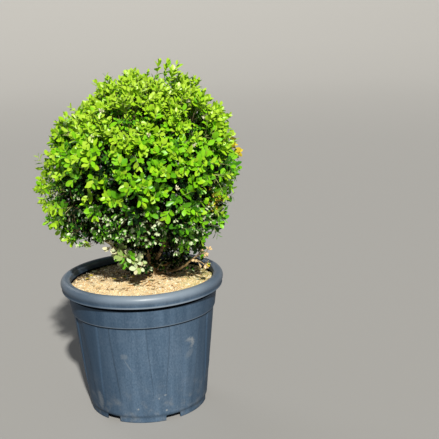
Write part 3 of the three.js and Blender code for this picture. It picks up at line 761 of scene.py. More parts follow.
def hollow_middle(z):
    """The middle, at a height, of the shaft round the trunk that holds boughs and no leaves."""
    share = min(max((z - TRUNK_FOOT[2]) / (CROWN[2] - TRUNK_FOOT[2]), 0), 1)
    return lerp(TRUNK_FOOT, CROWN, share)


print("the trunk passes", trunk_at(0.5).round(3), "half a metre up")

# %% [markdown]
# The crown is a ball made of eleven masses, and three low shoots spread over the soil. Each mass has a
# direction from the crown's middle as an angle round the pot and an elevation, its reach as a share of the
# crown's radius, how far its standing shoots reach past it, how many of them there are, and the height at
# which its bough forks off. A low shoot has a middle, a radius and the height of its fork.

# %% The masses of the crown
MASSES = {
    "top": (30, 88, 1.00, 0.044, 5, None),
    "upper_front": (2, 30, 1.01, 0.020, 2, 0.545),
    "upper_right": (74, 30, 1.04, 0.026, 2, 0.595),
    "upper_back_right": (146, 30, 1.00, 0.022, 2, 0.520),
    "upper_back_left": (218, 30, 1.00, 0.022, 2, 0.620),
    "upper_left": (290, 30, 0.97, 0.024, 2, 0.570),
    "lower_front": (350, -22, 0.85, 0.014, 1, 0.452),
    "lower_right": (58, -18, 1.00, 0.018, 1, 0.437),
    "lower_back_right": (128, -18, 0.99, 0.018, 1, 0.446),
    "lower_back_left": (206, -18, 0.98, 0.018, 1, 0.458),
    "lower_left": (282, -18, 1.02, 0.020, 1, 0.465),
}
LOW_SHOOTS = {
    "low_shoot_front": ((-0.038, -0.128, 0.500), 0.062, 0.416),
    "low_shoot_right": ((0.160, 0.014, 0.492), 0.046, 0.423),
    "dry_shoot_right": ((0.186, -0.062, 0.476), 0.042, 0.410),
}
BALL_BOUGH_RADII = (0.0062, 0.0045)
LOW_BOUGH_RADII = (0.0043, 0.0028)
ENTRY_DEPTH = 0.012
BEND_SHARE = 0.72


class Mass:
    """One mass of leaves: where it lies, and the bough that carries it."""

    def __init__(self, name, number):
        self.name = name
        self.seed = 100 + 17 * number
        self.in_ball = name in MASSES
        if self.in_ball:
            azimuth, elevation, reach, self.shoot_reach, self.shoots, self.fork = MASSES[name]
            self.axis = direction(azimuth, elevation)
            self.tips = CROWN_RADIUS * reach
            self.centre = CROWN + self.axis * (self.tips - CORE_DEPTH + HOLLOW_RADIUS) / 2
            self.radii = BALL_BOUGH_RADII
            if self.fork is None:
                self.entry = TRUNK_TIP
            elif elevation > 0:
                self.entry = CROWN + self.axis * (HOLLOW_RADIUS - ENTRY_DEPTH)
            else:
                side = direction(azimuth, 0) * (HOLLOW_RADIUS - ENTRY_DEPTH)
                self.entry = hollow_middle(self.fork + LOWER_BOUGH_RISE) + side
        else:
            middle, self.tips, self.fork = LOW_SHOOTS[name]
            self.centre = np.array(middle)
            self.axis = unit(self.centre - trunk_at(self.fork))
            self.entry = self.centre - self.axis * self.tips
            self.radii = LOW_BOUGH_RADII
        self.line = self.bough_line()
        self.heading = unit(self.entry - curve_point(self.line or trunk_line, 0.98))
        self.stem = [self.entry, self.entry + self.heading * 0.024, self.centre + self.axis * 0.02]

    def bough_line(self):
        """The bough's control points. The top mass has no bough, because the trunk's tip carries it."""
        if self.fork is None:
            return None
        start = trunk_at(self.fork)
        bend = lerp(start, self.entry, BEND_SHARE)
        bend[2] = lerp(start[2], self.entry[2], BEND_RISE if self.in_ball else LOW_BEND_RISE)
        return [start, bend, self.entry]


masses = [Mass(name, number) for number, name in enumerate([*MASSES, *LOW_SHOOTS])]
ball = [mass for mass in masses if mass.in_ball]
print(len(ball), "masses in the ball, and", len(masses) - len(ball), "low shoots")

# %% [markdown]
# Bark is best made as real relief: long plates with cracks between them. Each limb is a tube whose rings
# follow its line, and noise that is stretched along the limb pushes the surface in and out. The cracks then
# catch the light from any side.


# %% Tubes along curves
def ring_frames(points):
    """Two directions across a line at each of its points, turned as little as possible along it."""
    tangents = unit(np.gradient(points, axis=0))
    start = np.cross(tangents[0], [1.0, 0.2, 0.1])
    sides = []
    side = start / np.linalg.norm(start)
    for tangent in tangents:
        side = side - tangent * np.dot(side, tangent)
        side = side / np.linalg.norm(side)
        sides.append(side)
    sides = np.array(sides)
    return sides, np.cross(tangents, sides)


def relief_tube(controls, radius_at, sides, steps, depth):
    """A limb with bark relief. radius_at takes a share of the length and an angle."""
    shares = np.linspace(0, 1, steps + 1)
    points = np.array([curve_point(controls, share) for share in shares])
    across, up = ring_frames(points)
    corners = []
    for row, share in enumerate(shares):
        for column in range(sides):
            angle = column * 2 * math.pi / sides
            outward = across[row] * math.cos(angle) + up[row] * math.sin(angle)
            place = points[row] + outward * radius_at(share, angle)
            plates = noise.noise(Vector((place[0] * 130, place[1] * 130, place[2] * 34)))
            cracks = abs(noise.noise(Vector((place[0] * 260 + 9, place[1] * 260, place[2] * 60))))
            relief = 0.9 * plates + 0.5 - 1.6 * max(0.0, 0.28 - cracks)
            corners.append(place + outward * depth * relief)
    return np.array(corners), grid_faces(steps + 1, sides), end_caps(sides, steps)


foot_noise = noise.noise(Vector(TRUNK_FOOT * 130))
print("noise at the trunk's foot, from which its plates come:", round(foot_noise, 3))

# %% [markdown]
# The stem is greyish tan, with dark cracks and paler worn patches. The bough of the dry shoot is straw coloured
# where it comes out into the sun, bleached by it, and painted dark near its root as painted shade under the
# ball, so its colour turns with the distance across.

# %% Bark
BARK_STRETCH = (150.0, 150.0, 34.0)

bark = Finish("stem bark", 0.9)
spot = bark.place()
long_grain = bark.grain(bark.stretch(spot, *BARK_STRETCH), 1.0, 6.0, 0.65)
patches = bark.grain(spot, 38.0, 4.0)
tone = bark.blend(bark.between(long_grain, 0.36, 0.60), rgb(0.13, 0.075, 0.036), rgb(0.52, 0.36, 0.19))
bark.colour(bark.blend(bark.between(patches, 0.50, 0.68, 0.0, 0.6), tone, rgb(0.66, 0.53, 0.35)))
bark.bump(long_grain, 0.7, 0.0015)

dry_bark = Finish("dry stem bark", 0.9)
spot = dry_bark.place()
long_grain = dry_bark.grain(dry_bark.stretch(spot, *BARK_STRETCH), 1.0, 6.0, 0.65)
tone = dry_bark.blend(dry_bark.between(long_grain, 0.36, 0.60), rgb(0.46, 0.30, 0.15), rgb(0.88, 0.70, 0.44))
# Painted shade: the bough is dark near its root, under the ball.
shaded = dry_bark.between(dry_bark.axes(spot)[0], 0.105, 0.145, 0.94, 0.0)
dry_bark.colour(dry_bark.blend(shaded, tone, rgb(0.070, 0.045, 0.024)))
dry_bark.bump(long_grain, 0.7, 0.0012)
print("the bark has", len(bark.nodes), "nodes, and the dry bark", len(dry_bark.nodes))

# %% [markdown]
# The trunk flares into five roots at the soil and starts a little below its surface. Each bough is thickest
# in a swelling where it leaves the trunk, and tapers to where it enters its mass.

# %% Trunk and boughs
FLARE_SHARE = 0.035
FLARE_UNEVEN = 0.16
BOUGH_SWELLING = 0.003
SWELLING_SHARE = 0.08


def trunk_radius(share, angle):
    taper = lerp(TRUNK_RADIUS, TRUNK_TIP_RADIUS, share**0.8)
    roots = 1 + FLARE_UNEVEN * math.cos(5 * angle + 0.6)
    return taper + (TRUNK_FLARE_RADIUS - TRUNK_RADIUS) * math.exp(-share / FLARE_SHARE) * roots


sunk_foot = [TRUNK_FOOT - [0, 0, 0.006], *trunk_line[1:]]
trunk_piece = new_piece("trunk_bark", *relief_tube(sunk_foot, trunk_radius, 44, 110, 0.0014), [bark.material])
settle(trunk_piece, ["trunk"])
for mass in masses:
    if mass.fork is None:
        continue
    root, tip = mass.radii

    def bough_radius(share, angle, root=root, tip=tip):
        return lerp(root, tip, share) + BOUGH_SWELLING * math.exp(-share / SWELLING_SHARE)

    shape = relief_tube(mass.line, bough_radius, 20, 44, 0.0009)
    finish = dry_bark if mass.name.startswith("dry") else bark
    settle(new_piece("bough_bark_" + mass.name, *shape, [finish.material]), ["bough_" + mass.name])

# %% [markdown]
# A mass grows on from its bough by one rule: a stem, a handful of branches, a few dozen twigs and then the
# leafy shoots, each on the nearest one of the size before. Their ends are spread over the ball by the golden
# angle, which leaves no rows and no bare spots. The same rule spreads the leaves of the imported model.

# %% Directions over the ball
GOLDEN_ANGLE = math.pi * (3 - math.sqrt(5))


def golden_directions(count, seed, scatter):
    """Directions spread evenly over a ball, each moved a little at random."""
    draw = np.random.default_rng(seed)
    height = 1 - (2 * np.arange(count) + 1) / count
    level = np.sqrt(1 - height**2)
    turn = np.arange(count) * GOLDEN_ANGLE
    even = np.stack([np.cos(turn) * level, np.sin(turn) * level, height], axis=1)
    return unit(even + scatter / math.sqrt(count) * draw.normal(size=(count, 3)))


def owners(directions):
    """The number of the mass that each direction belongs to: the one whose axis is nearest."""
    return np.argmax(directions @ np.array([mass.axis for mass in ball]).T, axis=1)


def clear_of_middle(points):
    """Moves points out of the shaft round the trunk, where only boughs are."""
    moved = points.copy()
    for row, point in enumerate(points):
        aside = point - hollow_middle(point[2])
        aside[2] = 0
        gap = np.linalg.norm(aside)
        if gap < HOLLOW_RADIUS:
            moved[row] = point + aside / max(gap, 1e-6) * (HOLLOW_RADIUS - gap)
    return moved


def nearest(points, point_owners, others, other_owners):
    """For each point the nearest of the others that belongs to the same mass."""
    far = np.linalg.norm(points[:, None] - others[None], axis=2)
    far = far + 10 * (point_owners[:, None] != other_owners[None])
    return np.argmin(far, axis=1)


print("the first of 430 directions spread over a ball is", golden_directions(430, 2, 0.55)[0].round(3))

# %% [markdown]
# No grown ball is quite round. Seen from the picture's side, this one goes in high up at the left and a
# little above its middle, and swells below that and at the top right. Each change is a smooth bump: the
# elevation of its middle, its width in degrees, and its rise in metres. It fades towards the front and back.

# %% The ball's uneven outline
OUTLINE_LEFT = ((56, 11, -0.030), (9, 9, -0.016), (-19, 14, 0.022))
OUTLINE_RIGHT = ((55, 16, 0.013),)


def outline_change(ways):
    """How much further out the ball reaches at the left and the right of the picture, in metres."""
    elevation = np.arcsin(np.clip(ways[:, 2], -1, 1)) / DEGREE
    sideways = ways[:, 0] / np.maximum(np.hypot(ways[:, 0], ways[:, 1]), 1e-6)
    change = np.zeros(len(ways))
    for side, bumps in ((-sideways, OUTLINE_LEFT), (sideways, OUTLINE_RIGHT)):
        for middle, width, rise in bumps:
            change += smoothstep(side, 0.70, 0.92) * rise * np.exp(-(((elevation - middle) / width) ** 2))
    return change


tips_of = np.array([mass.tips for mass in ball])
print("the masses reach out", tips_of.min().round(3), "to", tips_of.max().round(3))

# %% [markdown]
# Each twig ends in a spray of shoots. On the side of the picture some sprays catch the light as bright
# rosettes and others lie deep in dark gaps, so two lists name where the plainest of both are, as an angle
# round the ball and an elevation, and a third names three yellow ones at the right. The twig that is nearest
# to each place is moved there.

# %% Sprays that have a place
BRANCHES = 72
TWIGS = 430
BRIGHT_SPRAYS = (
    (15, 0), (29, -9), (14, -14), (0, 4), (40, -13), (-24, 22), (28, 8), (-26, 5), (70, 15), (43, -23),
    (-6, 11), (-14, -5), (38, 1), (14, 14), (1, 27), (-18, 34), (21, 20), (61, 18), (44, 14), (51, -38),
)
DARK_GAPS = (
    (25, -1), (-28, -6), (3, 18), (11, -7), (-7, 4), (49, -14), (23, -17), (36, -5), (-44, 18), (-12, -23),
    (-21, 12), (52, 30), (21, 12), (-2, -4), (-1, 42), (-32, 69), (-16, 26), (21, 36), (47, 38), (4, -27),
)
YELLOW_SPRAYS = ((79, 16), (66, -14), (74, -20))

draw = np.random.default_rng(5)
branch_way = golden_directions(BRANCHES, 1, 0.2)
branch_owner = owners(branch_way)
branch_reach = tips_of[branch_owner] * (0.50 + 0.08 * draw.random(BRANCHES))
branch_end = CROWN + branch_way * branch_reach[:, None]
branch_end[:, 2] = np.maximum(branch_end[:, 2], CROWN_FLOOR_Z + 0.03)
branch_end = clear_of_middle(branch_end)

twig_way = golden_directions(TWIGS, 2, 0.55)
bright, sunk, yellow = (np.zeros(TWIGS, bool) for _ in range(3))
for places, flags in ((BRIGHT_SPRAYS, bright), (DARK_GAPS, sunk), (YELLOW_SPRAYS, yellow)):
    for place in places:
        likeness = twig_way @ direction(*place) - 2.0 * (bright | sunk | yellow)
        closest = int(np.argmax(likeness))
        twig_way[closest] = direction(*place)
        flags[closest] = True
named = bright | sunk | yellow
twig_owner = owners(twig_way)
print("sprays that have a place:", int(named.sum()), "of", TWIGS)

# %% [markdown]
# The other sprays are dealt a depth by chance. Gaps are rare at the top and common low down, most of all low
# at the front, where the real ball is open and dark, and rarer at its left edge, which is dense and bright.
# One spray in six is longer than the rest, and slow waves make the surface uneven, so it never looks clipped.

# %% The depth of the other sprays
SPRAY_LENGTH = 0.052
SPRAY_UNEVEN = 0.009
SPRAY_WAVE = 0.009
GAP_DEPTH = 0.050
GAP_CHANCE_LOW = 0.64
GAP_CHANCE_HIGH = 0.05
LONG_SPRAY = 0.014
LONG_SHARE = 0.18
LOW_FRONT_MIDDLE = 0.1
LOW_FRONT_WIDTH = 0.5

height = twig_way[:, 2]
at_front = np.exp(-(((twig_way[:, 0] - LOW_FRONT_MIDDLE) / LOW_FRONT_WIDTH) ** 2)) * (twig_way[:, 1] < 0)
low_front = smoothstep(-height, 0.10, 0.45) * at_front
left_edge = smoothstep(-twig_way[:, 0], 0.60, 0.90) * np.exp(-(((height + 0.1) / 0.4) ** 2))
gap_chance = lerp(GAP_CHANCE_LOW, GAP_CHANCE_HIGH, smoothstep(height, -0.22, 0.42))
gap_chance = gap_chance + 0.33 * low_front - 0.34 * left_edge
sunk |= (draw.random(TWIGS) < gap_chance) & ~named
yellow |= (draw.random(TWIGS) < 0.015) & ~named & (twig_way[:, 1] > 0.3)

spray_reach = tips_of[twig_owner] - 0.010 + SPRAY_UNEVEN * np.clip(draw.normal(size=TWIGS), -1.8, 1.5)
spray_reach += SPRAY_WAVE * np.sin(9 * twig_way[:, 0] + 2) * np.sin(8 * twig_way[:, 1] + 7 * height)
spray_reach += 0.006 * bright - GAP_DEPTH * sunk + outline_change(twig_way)
spray_reach += LONG_SPRAY * (draw.random(TWIGS) < LONG_SHARE) * ~sunk
twig_reach = spray_reach - SPRAY_LENGTH * (0.85 + 0.3 * draw.random(TWIGS))
twig_end = CROWN + twig_way * twig_reach[:, None]
keep = twig_end[:, 2] > CROWN_FLOOR_Z + 0.004
twig_way, twig_owner, twig_end, spray_reach = (
    rows[keep] for rows in (twig_way, twig_owner, twig_end, spray_reach)
)
bright, sunk, yellow, low_front, left_edge = (
    rows[keep] for rows in (bright, sunk, yellow, low_front, left_edge)
)
twig_parent = nearest(twig_end, twig_owner, branch_end, branch_owner)
print(len(twig_end), "twigs, of which in gaps:", int(sunk.sum()))

# %% [markdown]
# Every limb of one size is a smooth bend: it sets off the way that its parent grows and turns to its own end.
# The small class below keeps the rows of many shoots together, with the age, the size and the kind of their
# leaves, so that one rule can dress them all.


# %% Shoots and how they bend
class Shoots:
    """Many leafy shoots at once. Every array has one row for each shoot."""

    def __init__(self, start, bend, tip, owner, tone, kind, size):
        self.start, self.bend, self.tip, self.owner = start, bend, tip, owner
        self.tone, self.kind, self.size = tone, kind, size

    def of(self, number):
        mine = self.owner == number
        return Shoots(*(rows[mine] for rows in vars(self).values()))


def bent(starts, ends, ways, pull):
    """The bend of each twig: half way, and pulled along the way that its parent grows."""
    far = np.linalg.norm(ends - starts, axis=1, keepdims=True)
    return lerp(starts, ends, 0.45) + ways * far * pull


def along_bends(starts, bends, ends, share):
    return (1 - share) ** 2 * starts + 2 * share * (1 - share) * bends + share**2 * ends


branch_start = []
for owner, end in zip(branch_owner, branch_end):
    line = [curve_point(ball[owner].stem, share) for share in (0.35, 0.55, 0.75, 0.95)]
    branch_start.append(min(line, key=lambda point: np.linalg.norm(point - end)))
branch_start = np.array(branch_start)
stem_ways = np.array([unit(ball[owner].stem[2] - ball[owner].stem[0]) for owner in branch_owner])
branch_bend = bent(branch_start, branch_end, stem_ways, 0.12)
twig_start = branch_end[twig_parent]
twig_bend = bent(twig_start, twig_end, branch_way[twig_parent], 0.15)
print("the longest twig is", np.linalg.norm(twig_end - twig_start, axis=1).max().round(3))

# %% [markdown]
# Leaf colours run from the yellow green of new growth to the deep green of last year's leaves, with a few
# yellow, pale and dry ones. Each is a plain colour of its own. The deep and the shade leaf also stand for
# painted shade inside the ball. Here a shoot only gets a tone, a number from new to shade, and its leaves are
# dealt the colours near it. Sprays in the light get young colours and deep ones the old, which is partly age
# and partly painted light and shade.

# %% Leaf colours
LEAF_TINTS = {
    "tip leaf": rgb(0.42, 0.65, 0.038),
    "new leaf": rgb(0.36, 0.64, 0.018),
    "fresh leaf": rgb(0.22, 0.56, 0.009),
    "green leaf": rgb(0.115, 0.37, 0.008),
    "full leaf": rgb(0.050, 0.20, 0.008),
    "deep leaf": rgb(0.014, 0.060, 0.008),
    "shade leaf": rgb(0.005, 0.021, 0.005),
    "yellow leaf": rgb(0.74, 0.58, 0.045),
    "pale leaf": rgb(0.66, 0.64, 0.39),
    "dry leaf": rgb(0.72, 0.53, 0.27),
    # Pale undersides, and painted glints where the sun would catch a waxy leaf.
    "leaf from below": rgb(0.60, 0.71, 0.41),
    "soft leaf": rgb(0.30, 0.42, 0.11),
}
TIP, NEW, FRESH, GREEN, FULL, DEEP, SHADE, YELLOW, PALE, DRY, UNDERSIDE_AND_GLINT, SOFT = range(len(LEAF_TINTS))
PLAIN = -1
print("a tone of", TIP, "is the youngest leaf, and", SHADE, "is a leaf in deep shade")

# %% [markdown]
# A spray is four to seven shoots that fan out from the end of its twig, more of them in a rosette and near the
# top. Sprays low down, and most of all those in gaps, get older and darker colours, and the top and the left
# edge lighter ones: this is partly the age of the leaves and partly painted shade and painted light.
# Below the ball's front no shoot is grown in the spaces through which the stems and the low shoots are seen.
# The tips also stop short at the left and the front, so that no leaf leaves the room that the plant has.

# %% The shoots of the sprays
SPRAY_SPREAD = 0.074
SHOOT_UNEVEN = 0.010
SIDEWAYS_LIMIT = (-0.295, -0.289)
# The left, right, furthest back and highest that each open space goes.
OPEN_BEFORE_STEM = (0.035, 0.115, -0.02, 0.535)
OPEN_AT_RIGHT = (0.08, 0.22, -0.07, 0.500)
OPEN_AT_LEFT = (-1.0, -0.07, 0.05, 0.535)
FRONT_SHOOT_MIDDLE = (-0.040, -0.135, 0.505)
FRONT_SHOOT_ROOM = 0.070


def clear_of_stems(points):
    """Which points leave the stems in view, and the low shoots at the front, below the ball's front."""
    x, y, z = points.T
    in_the_way = np.linalg.norm(points - FRONT_SHOOT_MIDDLE, axis=1) < FRONT_SHOOT_ROOM
    for left, right, back, top in (OPEN_BEFORE_STEM, OPEN_AT_RIGHT, OPEN_AT_LEFT):
        in_the_way |= (x > left) & (x < right) & (y < back) & (z < top)
    return ~in_the_way


draw = np.random.default_rng(6)
height = twig_way[:, 2]
# The tones paint light and shade as well as age: lighter at the top, at the left edge and in bright rosettes,
# darker low at the front and in gaps.
spray_tone = 1.05 - 1.55 * height + 0.50 * draw.normal(size=len(twig_end)) + 2.7 * low_front
spray_tone -= 0.75 * smoothstep(height, 0.35, 0.75)
spray_tone -= 1.9 * left_edge
rosette_tone = 0.4 + 1.3 * smoothstep(-height, -0.20, 0.20)
spray_tone = np.where(bright, np.minimum(spray_tone, rosette_tone), spray_tone)
spray_tone += 3.0 * sunk * (height < 0.5)
spray_tone += 1.0 * sunk
spray_size = np.where(sunk, 0.72, 0.95) + 0.13 * bright + 0.05 * draw.normal(size=len(twig_end))
spray_size -= 0.10 * smoothstep(height, 0.3, 0.8) + 0.12 * low_front
spray_kind = np.where(yellow, YELLOW, PLAIN)
per_spray = 4 + bright + 2 * (height > 0.35)

parent = np.repeat(np.arange(len(twig_end)), per_spray)
count = len(parent)
way = unit(twig_way[parent] + SPRAY_SPREAD * draw.normal(size=(count, 3)))
reach = spray_reach[parent] + SHOOT_UNEVEN * np.clip(draw.normal(size=count), -2.2, 1.1)
tip = CROWN + way * reach[:, None]
tip[:, 2] = np.maximum(tip[:, 2], CROWN_FLOOR_Z - 0.004)
tip[:, :2] = np.maximum(tip[:, :2], SIDEWAYS_LIMIT)
tone = spray_tone[parent] + 0.25 * draw.normal(size=count)
keep = clear_of_stems(tip)
parent, tip, tone = parent[keep], tip[keep], tone[keep]
start = twig_end[parent]
bend = bent(start, tip, twig_way[parent], 0.16)
spray_shoots = Shoots(start, bend, tip, twig_owner[parent], tone, spray_kind[parent], spray_size[parent])
print(len(tip), "shoots in", len(twig_end), "sprays")

# %% [markdown]
# Behind the sprays the twigs carry smaller and older leaves, whose dark green also paints the shade in the
# gaps. Low at the front and the sides some of their leaves are pale: boxwood leaves are paler underneath, and
# there the pale tint also stands for painted glints of light.

# %% The shoots behind the sprays
INNER_SHOOTS = 3500
INNER_TONE = 4.6
INNER_SIZE = 0.54
PALE_SHARE = 0.72

way = golden_directions(INNER_SHOOTS, 7, 0.8)
owner = owners(way)
reach = tips_of[owner] * (0.68 + 0.26 * draw.random(INNER_SHOOTS)) + outline_change(way)
tip = CROWN + way * reach[:, None]
keep = (tip[:, 2] > CROWN_FLOOR_Z - 0.012) & clear_of_stems(tip)
way, owner, tip = way[keep], owner[keep], clear_of_middle(tip[keep])
count = len(tip)
parent = nearest(tip, owner, twig_end, twig_owner)
share = 0.25 + 0.65 * draw.random((count, 1))
start = along_bends(twig_start[parent], twig_bend[parent], twig_end[parent], share)
under = smoothstep(-way[:, 2], -0.15, 0.45) * (way[:, 1] < 0.3)
in_light = smoothstep(way[:, 2], 0.15, 0.8)
# Darker tones paint the shade inside the ball, and lighter ones where the light reaches.
tone = INNER_TONE + 1.1 * draw.normal(size=count) - 3.4 * in_light - 0.4 * under
kind = np.where(draw.random(count) < PALE_SHARE * under, UNDERSIDE_AND_GLINT, PLAIN)
size = INNER_SIZE + 0.08 * draw.normal(size=count)
inner_shoots = Shoots(start, bent(start, tip, way, 0.1), tip, owner, tone, kind, size)
print(count, "shoots behind the sprays, of which pale below:", int((kind == UNDERSIDE_AND_GLINT).sum()))

# %% [markdown]
# Low at the front single small leaves catch the light before the dark: they sit on thin side shoots just inside
# the outline, and most of them get the pale tint as painted glints. These are dealt over that part of the ball
# alone, because elsewhere sprays hide them.

# %% Small leaves that catch the light
GLINT_SHOOTS = 270
GLINT_AZIMUTHS = (-62, 54)
GLINT_ELEVATIONS = (-12, -54)
GLINT_PALE_SHARE = 0.74
GLINT_TONE = 2.7
GLINT_SIZE = 0.52

draw = np.random.default_rng(13)
azimuth = lerp(*GLINT_AZIMUTHS, draw.random(GLINT_SHOOTS))
elevation = lerp(*GLINT_ELEVATIONS, draw.random(GLINT_SHOOTS))
way = np.array([direction(*place) for place in zip(azimuth, elevation)])
owner = owners(way)
reach = tips_of[owner] * (0.93 + 0.08 * draw.random(GLINT_SHOOTS))
tip = CROWN + way * reach[:, None]
keep = (tip[:, 2] > CROWN_FLOOR_Z) & clear_of_stems(tip)
way, owner, tip = way[keep], owner[keep], tip[keep]
count = len(tip)
parent = nearest(tip, owner, twig_end, twig_owner)
start = lerp(tip, twig_end[parent], 0.55)
bend = bent(start, tip, way, 0.1)
kind = np.where(draw.random(count) < GLINT_PALE_SHARE, UNDERSIDE_AND_GLINT, PLAIN)
glint_shoots = Shoots(start, bend, tip, owner, np.full(count, GLINT_TONE), kind, np.full(count, GLINT_SIZE))
print(count, "small shoots low at the front")

# %% [markdown]
# A few shoots stand well clear of the ball. The imported model deals them out with a small counter-based random
# rule, and the same rule here finds the same shoots, so that both have the same outline. Five more are placed
# one by one at the top, where thin new shoots rise above the rest.


# %% The shoots that stand out
def random_from(seed):
    """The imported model's own random rule: numbers from 0 to 1 that depend only on the seed."""
    state = seed & 0xFFFFFFFF

    def step():
        nonlocal state
        state = (state + 0x6D2B79F5) & 0xFFFFFFFF
        mixed = ((state ^ (state >> 15)) * (state | 1)) & 0xFFFFFFFF
        mixed ^= (mixed + ((mixed ^ (mixed >> 7)) * (mixed | 61) & 0xFFFFFFFF)) & 0xFFFFFFFF
        return ((mixed ^ (mixed >> 14)) & 0xFFFFFFFF) / 4294967296

    return step


def standing_shoots(mass):
    """The root and tip of each shoot of a mass that stands out of the ball."""
    turn = random_from(mass.seed + 1)
    found = []
    for _ in range(mass.shoots):
        lean = 36 * DEGREE * math.sqrt(turn())
        aside = unit(np.cross([turn() - 0.5, turn() - 0.5, turn() - 0.5], mass.axis))
        along = mass.axis * math.cos(lean) + aside * math.sin(lean)
        root = lerp(CROWN + along * (mass.tips - 0.040), mass.centre, 0.15)
        from_crown = np.linalg.norm(root - CROWN)
        length = (mass.tips + mass.shoot_reach - 0.018 - from_crown) * (0.8 + 0.2 * turn()) + 0.008
        found.append((root, root + unit(root - CROWN) * length))
    return found


IN_VIEW_TIPS = np.array([
    (0.086, -0.030, 1.052), (0.112, -0.040, 1.048), (0.138, -0.025, 1.045), (0.128, -0.050, 1.030),
    (-0.068, -0.030, 1.018),
])
IN_VIEW_LENGTH = 0.075
TALL_TONE = -0.7

root, tip, owner = [], [], []
for number, mass in enumerate(ball):
    for one_root, one_tip in standing_shoots(mass):
        root.append(one_root)
        tip.append(one_tip)
        owner.append(number)
        print(mass.name, "has a shoot that reaches", one_tip.round(3))
for place in IN_VIEW_TIPS:
    way = unit(place - CROWN)
    root.append(place - way * IN_VIEW_LENGTH)
    tip.append(place)
    owner.append(int(owners(way[None])[0]))
root, tip, owner = np.array(root), np.array(tip), np.array(owner)
tone, kind, size = (np.full(len(tip), value) for value in (TALL_TONE, PLAIN, 1.0))
tall_shoots = Shoots(root, lerp(root, tip, 0.5), tip, owner, tone, kind, size)

# %% [markdown]
# All twigs of one size are made together: one array holds every ring of every twig. Shoots of this year are
# green, and older wood is brown. It has little gloss, because bright lines on thin twigs look like metal. The
# wood of the low shoots and of the litter is bleached paler by the sun.


# %% Twigs from arrays
def twig_tubes(starts, bends, ends, root_radius, tip_radius, sides, steps):
    share = np.linspace(0, 1, steps + 1)[None, :, None]
    points = along_bends(starts[:, None], bends[:, None], ends[:, None], share)
    tangents = unit(2 * (1 - share) * (bends - starts)[:, None] + 2 * share * (ends - bends)[:, None] + 1e-9)
    first = across_from(tangents[:, :1])
    side = unit(first - tangents * np.sum(first * tangents, axis=2, keepdims=True))
    other = np.cross(tangents, side)
    angles = round_turn(sides)[:, None]
    outward = side[:, :, None] * np.cos(angles) + other[:, :, None] * np.sin(angles)
    corners = points[:, :, None] + outward * lerp(root_radius, tip_radius, share)[..., None]
    base = (np.arange(len(starts)) * (steps + 1) * sides)[:, None, None]
    quads = (grid_faces(steps + 1, sides)[None] + base).reshape(-1, 4)
    triangles = (end_caps(sides, steps)[None] + base).reshape(-1, 3)
    return corners.reshape(-1, 3), quads, triangles


def shoot_tubes(shoots, root_radius, tip_radius, sides, steps):
    return twig_tubes(shoots.start, shoots.bend, shoots.tip, root_radius, tip_radius, sides, steps)


def twig_wood(name, dark, light):
    finish = Finish(name, 0.9)
    finish.shader.inputs["Specular IOR Level"].default_value = 0.15
    spot = finish.place()
    finish.colour(finish.blend(finish.between(finish.grain(spot, 160.0), 0.35, 0.65), dark, light))
    finish.bump(finish.grain(finish.stretch(spot, 900.0, 900.0, 240.0), 1.0), 0.4, 0.0005)
    return finish


wood = twig_wood("twig wood", rgb(0.085, 0.062, 0.032), rgb(0.26, 0.20, 0.11))
pale_wood = twig_wood("pale twig wood", rgb(0.24, 0.165, 0.09), rgb(0.58, 0.46, 0.28))
green_stem = Finish("green shoot", 0.6)
spot = green_stem.place()
tone = green_stem.blend(green_stem.grain(spot, 120.0), rgb(0.20, 0.30, 0.06), rgb(0.52, 0.56, 0.20))
green_stem.colour(tone)
green_stem.bump(green_stem.grain(spot, 800.0), 0.3, 0.0004)
print("twig finishes:", wood.material.name, pale_wood.material.name, green_stem.material.name, sep=", ")

# %% [markdown]
# Each mass gets one piece of twigs: its stem with relief, its branches and twigs in brown wood, and the
# shoots that carry leaves, brown inside the ball and green in the sprays. The shapes below say how thick each
# size of twig is at its root and its tip, and how many sides and steps it has, fewer the less it is seen.

# %% The twigs of each mass
BRANCH_SHAPE = (0.0028, 0.0019, 6, 6)
TWIG_SHAPE = (0.0019, 0.0012, 5, 4)
INNER_SHAPE = (0.0009, 0.0005, 3, 3)
GLINT_SHAPE = (0.0008, 0.0005, 3, 2)
SPRAY_SHAPE = (0.0012, 0.0006, 4, 4)
TALL_SHAPE = (0.0014, 0.0007, 5, 5)


def stem_radius(share, angle):
    return lerp(0.005, 0.0028, share)


for number, mass in enumerate(ball):
    branches = branch_owner == number
    twigs = twig_owner == number
    brown = gather([
        relief_tube(mass.stem, stem_radius, 12, 18, 0.0006),
        twig_tubes(branch_start[branches], branch_bend[branches], branch_end[branches], *BRANCH_SHAPE),
        twig_tubes(twig_start[twigs], twig_bend[twigs], twig_end[twigs], *TWIG_SHAPE),
        shoot_tubes(inner_shoots.of(number), *INNER_SHAPE),
        shoot_tubes(glint_shoots.of(number), *GLINT_SHAPE),
    ])
    young = gather([
        shoot_tubes(spray_shoots.of(number), *SPRAY_SHAPE),
        shoot_tubes(tall_shoots.of(number), *TALL_SHAPE),
    ])
    finishes = [wood.material, green_stem.material]
    slots = np.repeat([0, 1, 0, 1], [len(brown[1]), len(young[1]), len(brown[2]), len(young[2])])
    piece = new_piece("twigs_" + mass.name, *gather([brown, young]), finishes, slots)
    settle(piece, [])

# %% [markdown]
# A boxwood leaf is about two and a half centimetres long, widest near its middle and blunt at its tip. It
# folds a little along its midrib and curls back. The blade is a sheet in its true outline, because there are
# thousands, and the fold alone gives each leaf a light and a dark half. Leaves deep in the ball do with fewer
# corners.

# %% One leaf
LEAF_FOLD = 0.13
LEAF_CURL = 0.16
LEAF_OUTLINE = ((0.20, 0.27), (0.47, 0.50), (0.76, 0.42), (0.945, 0.19))


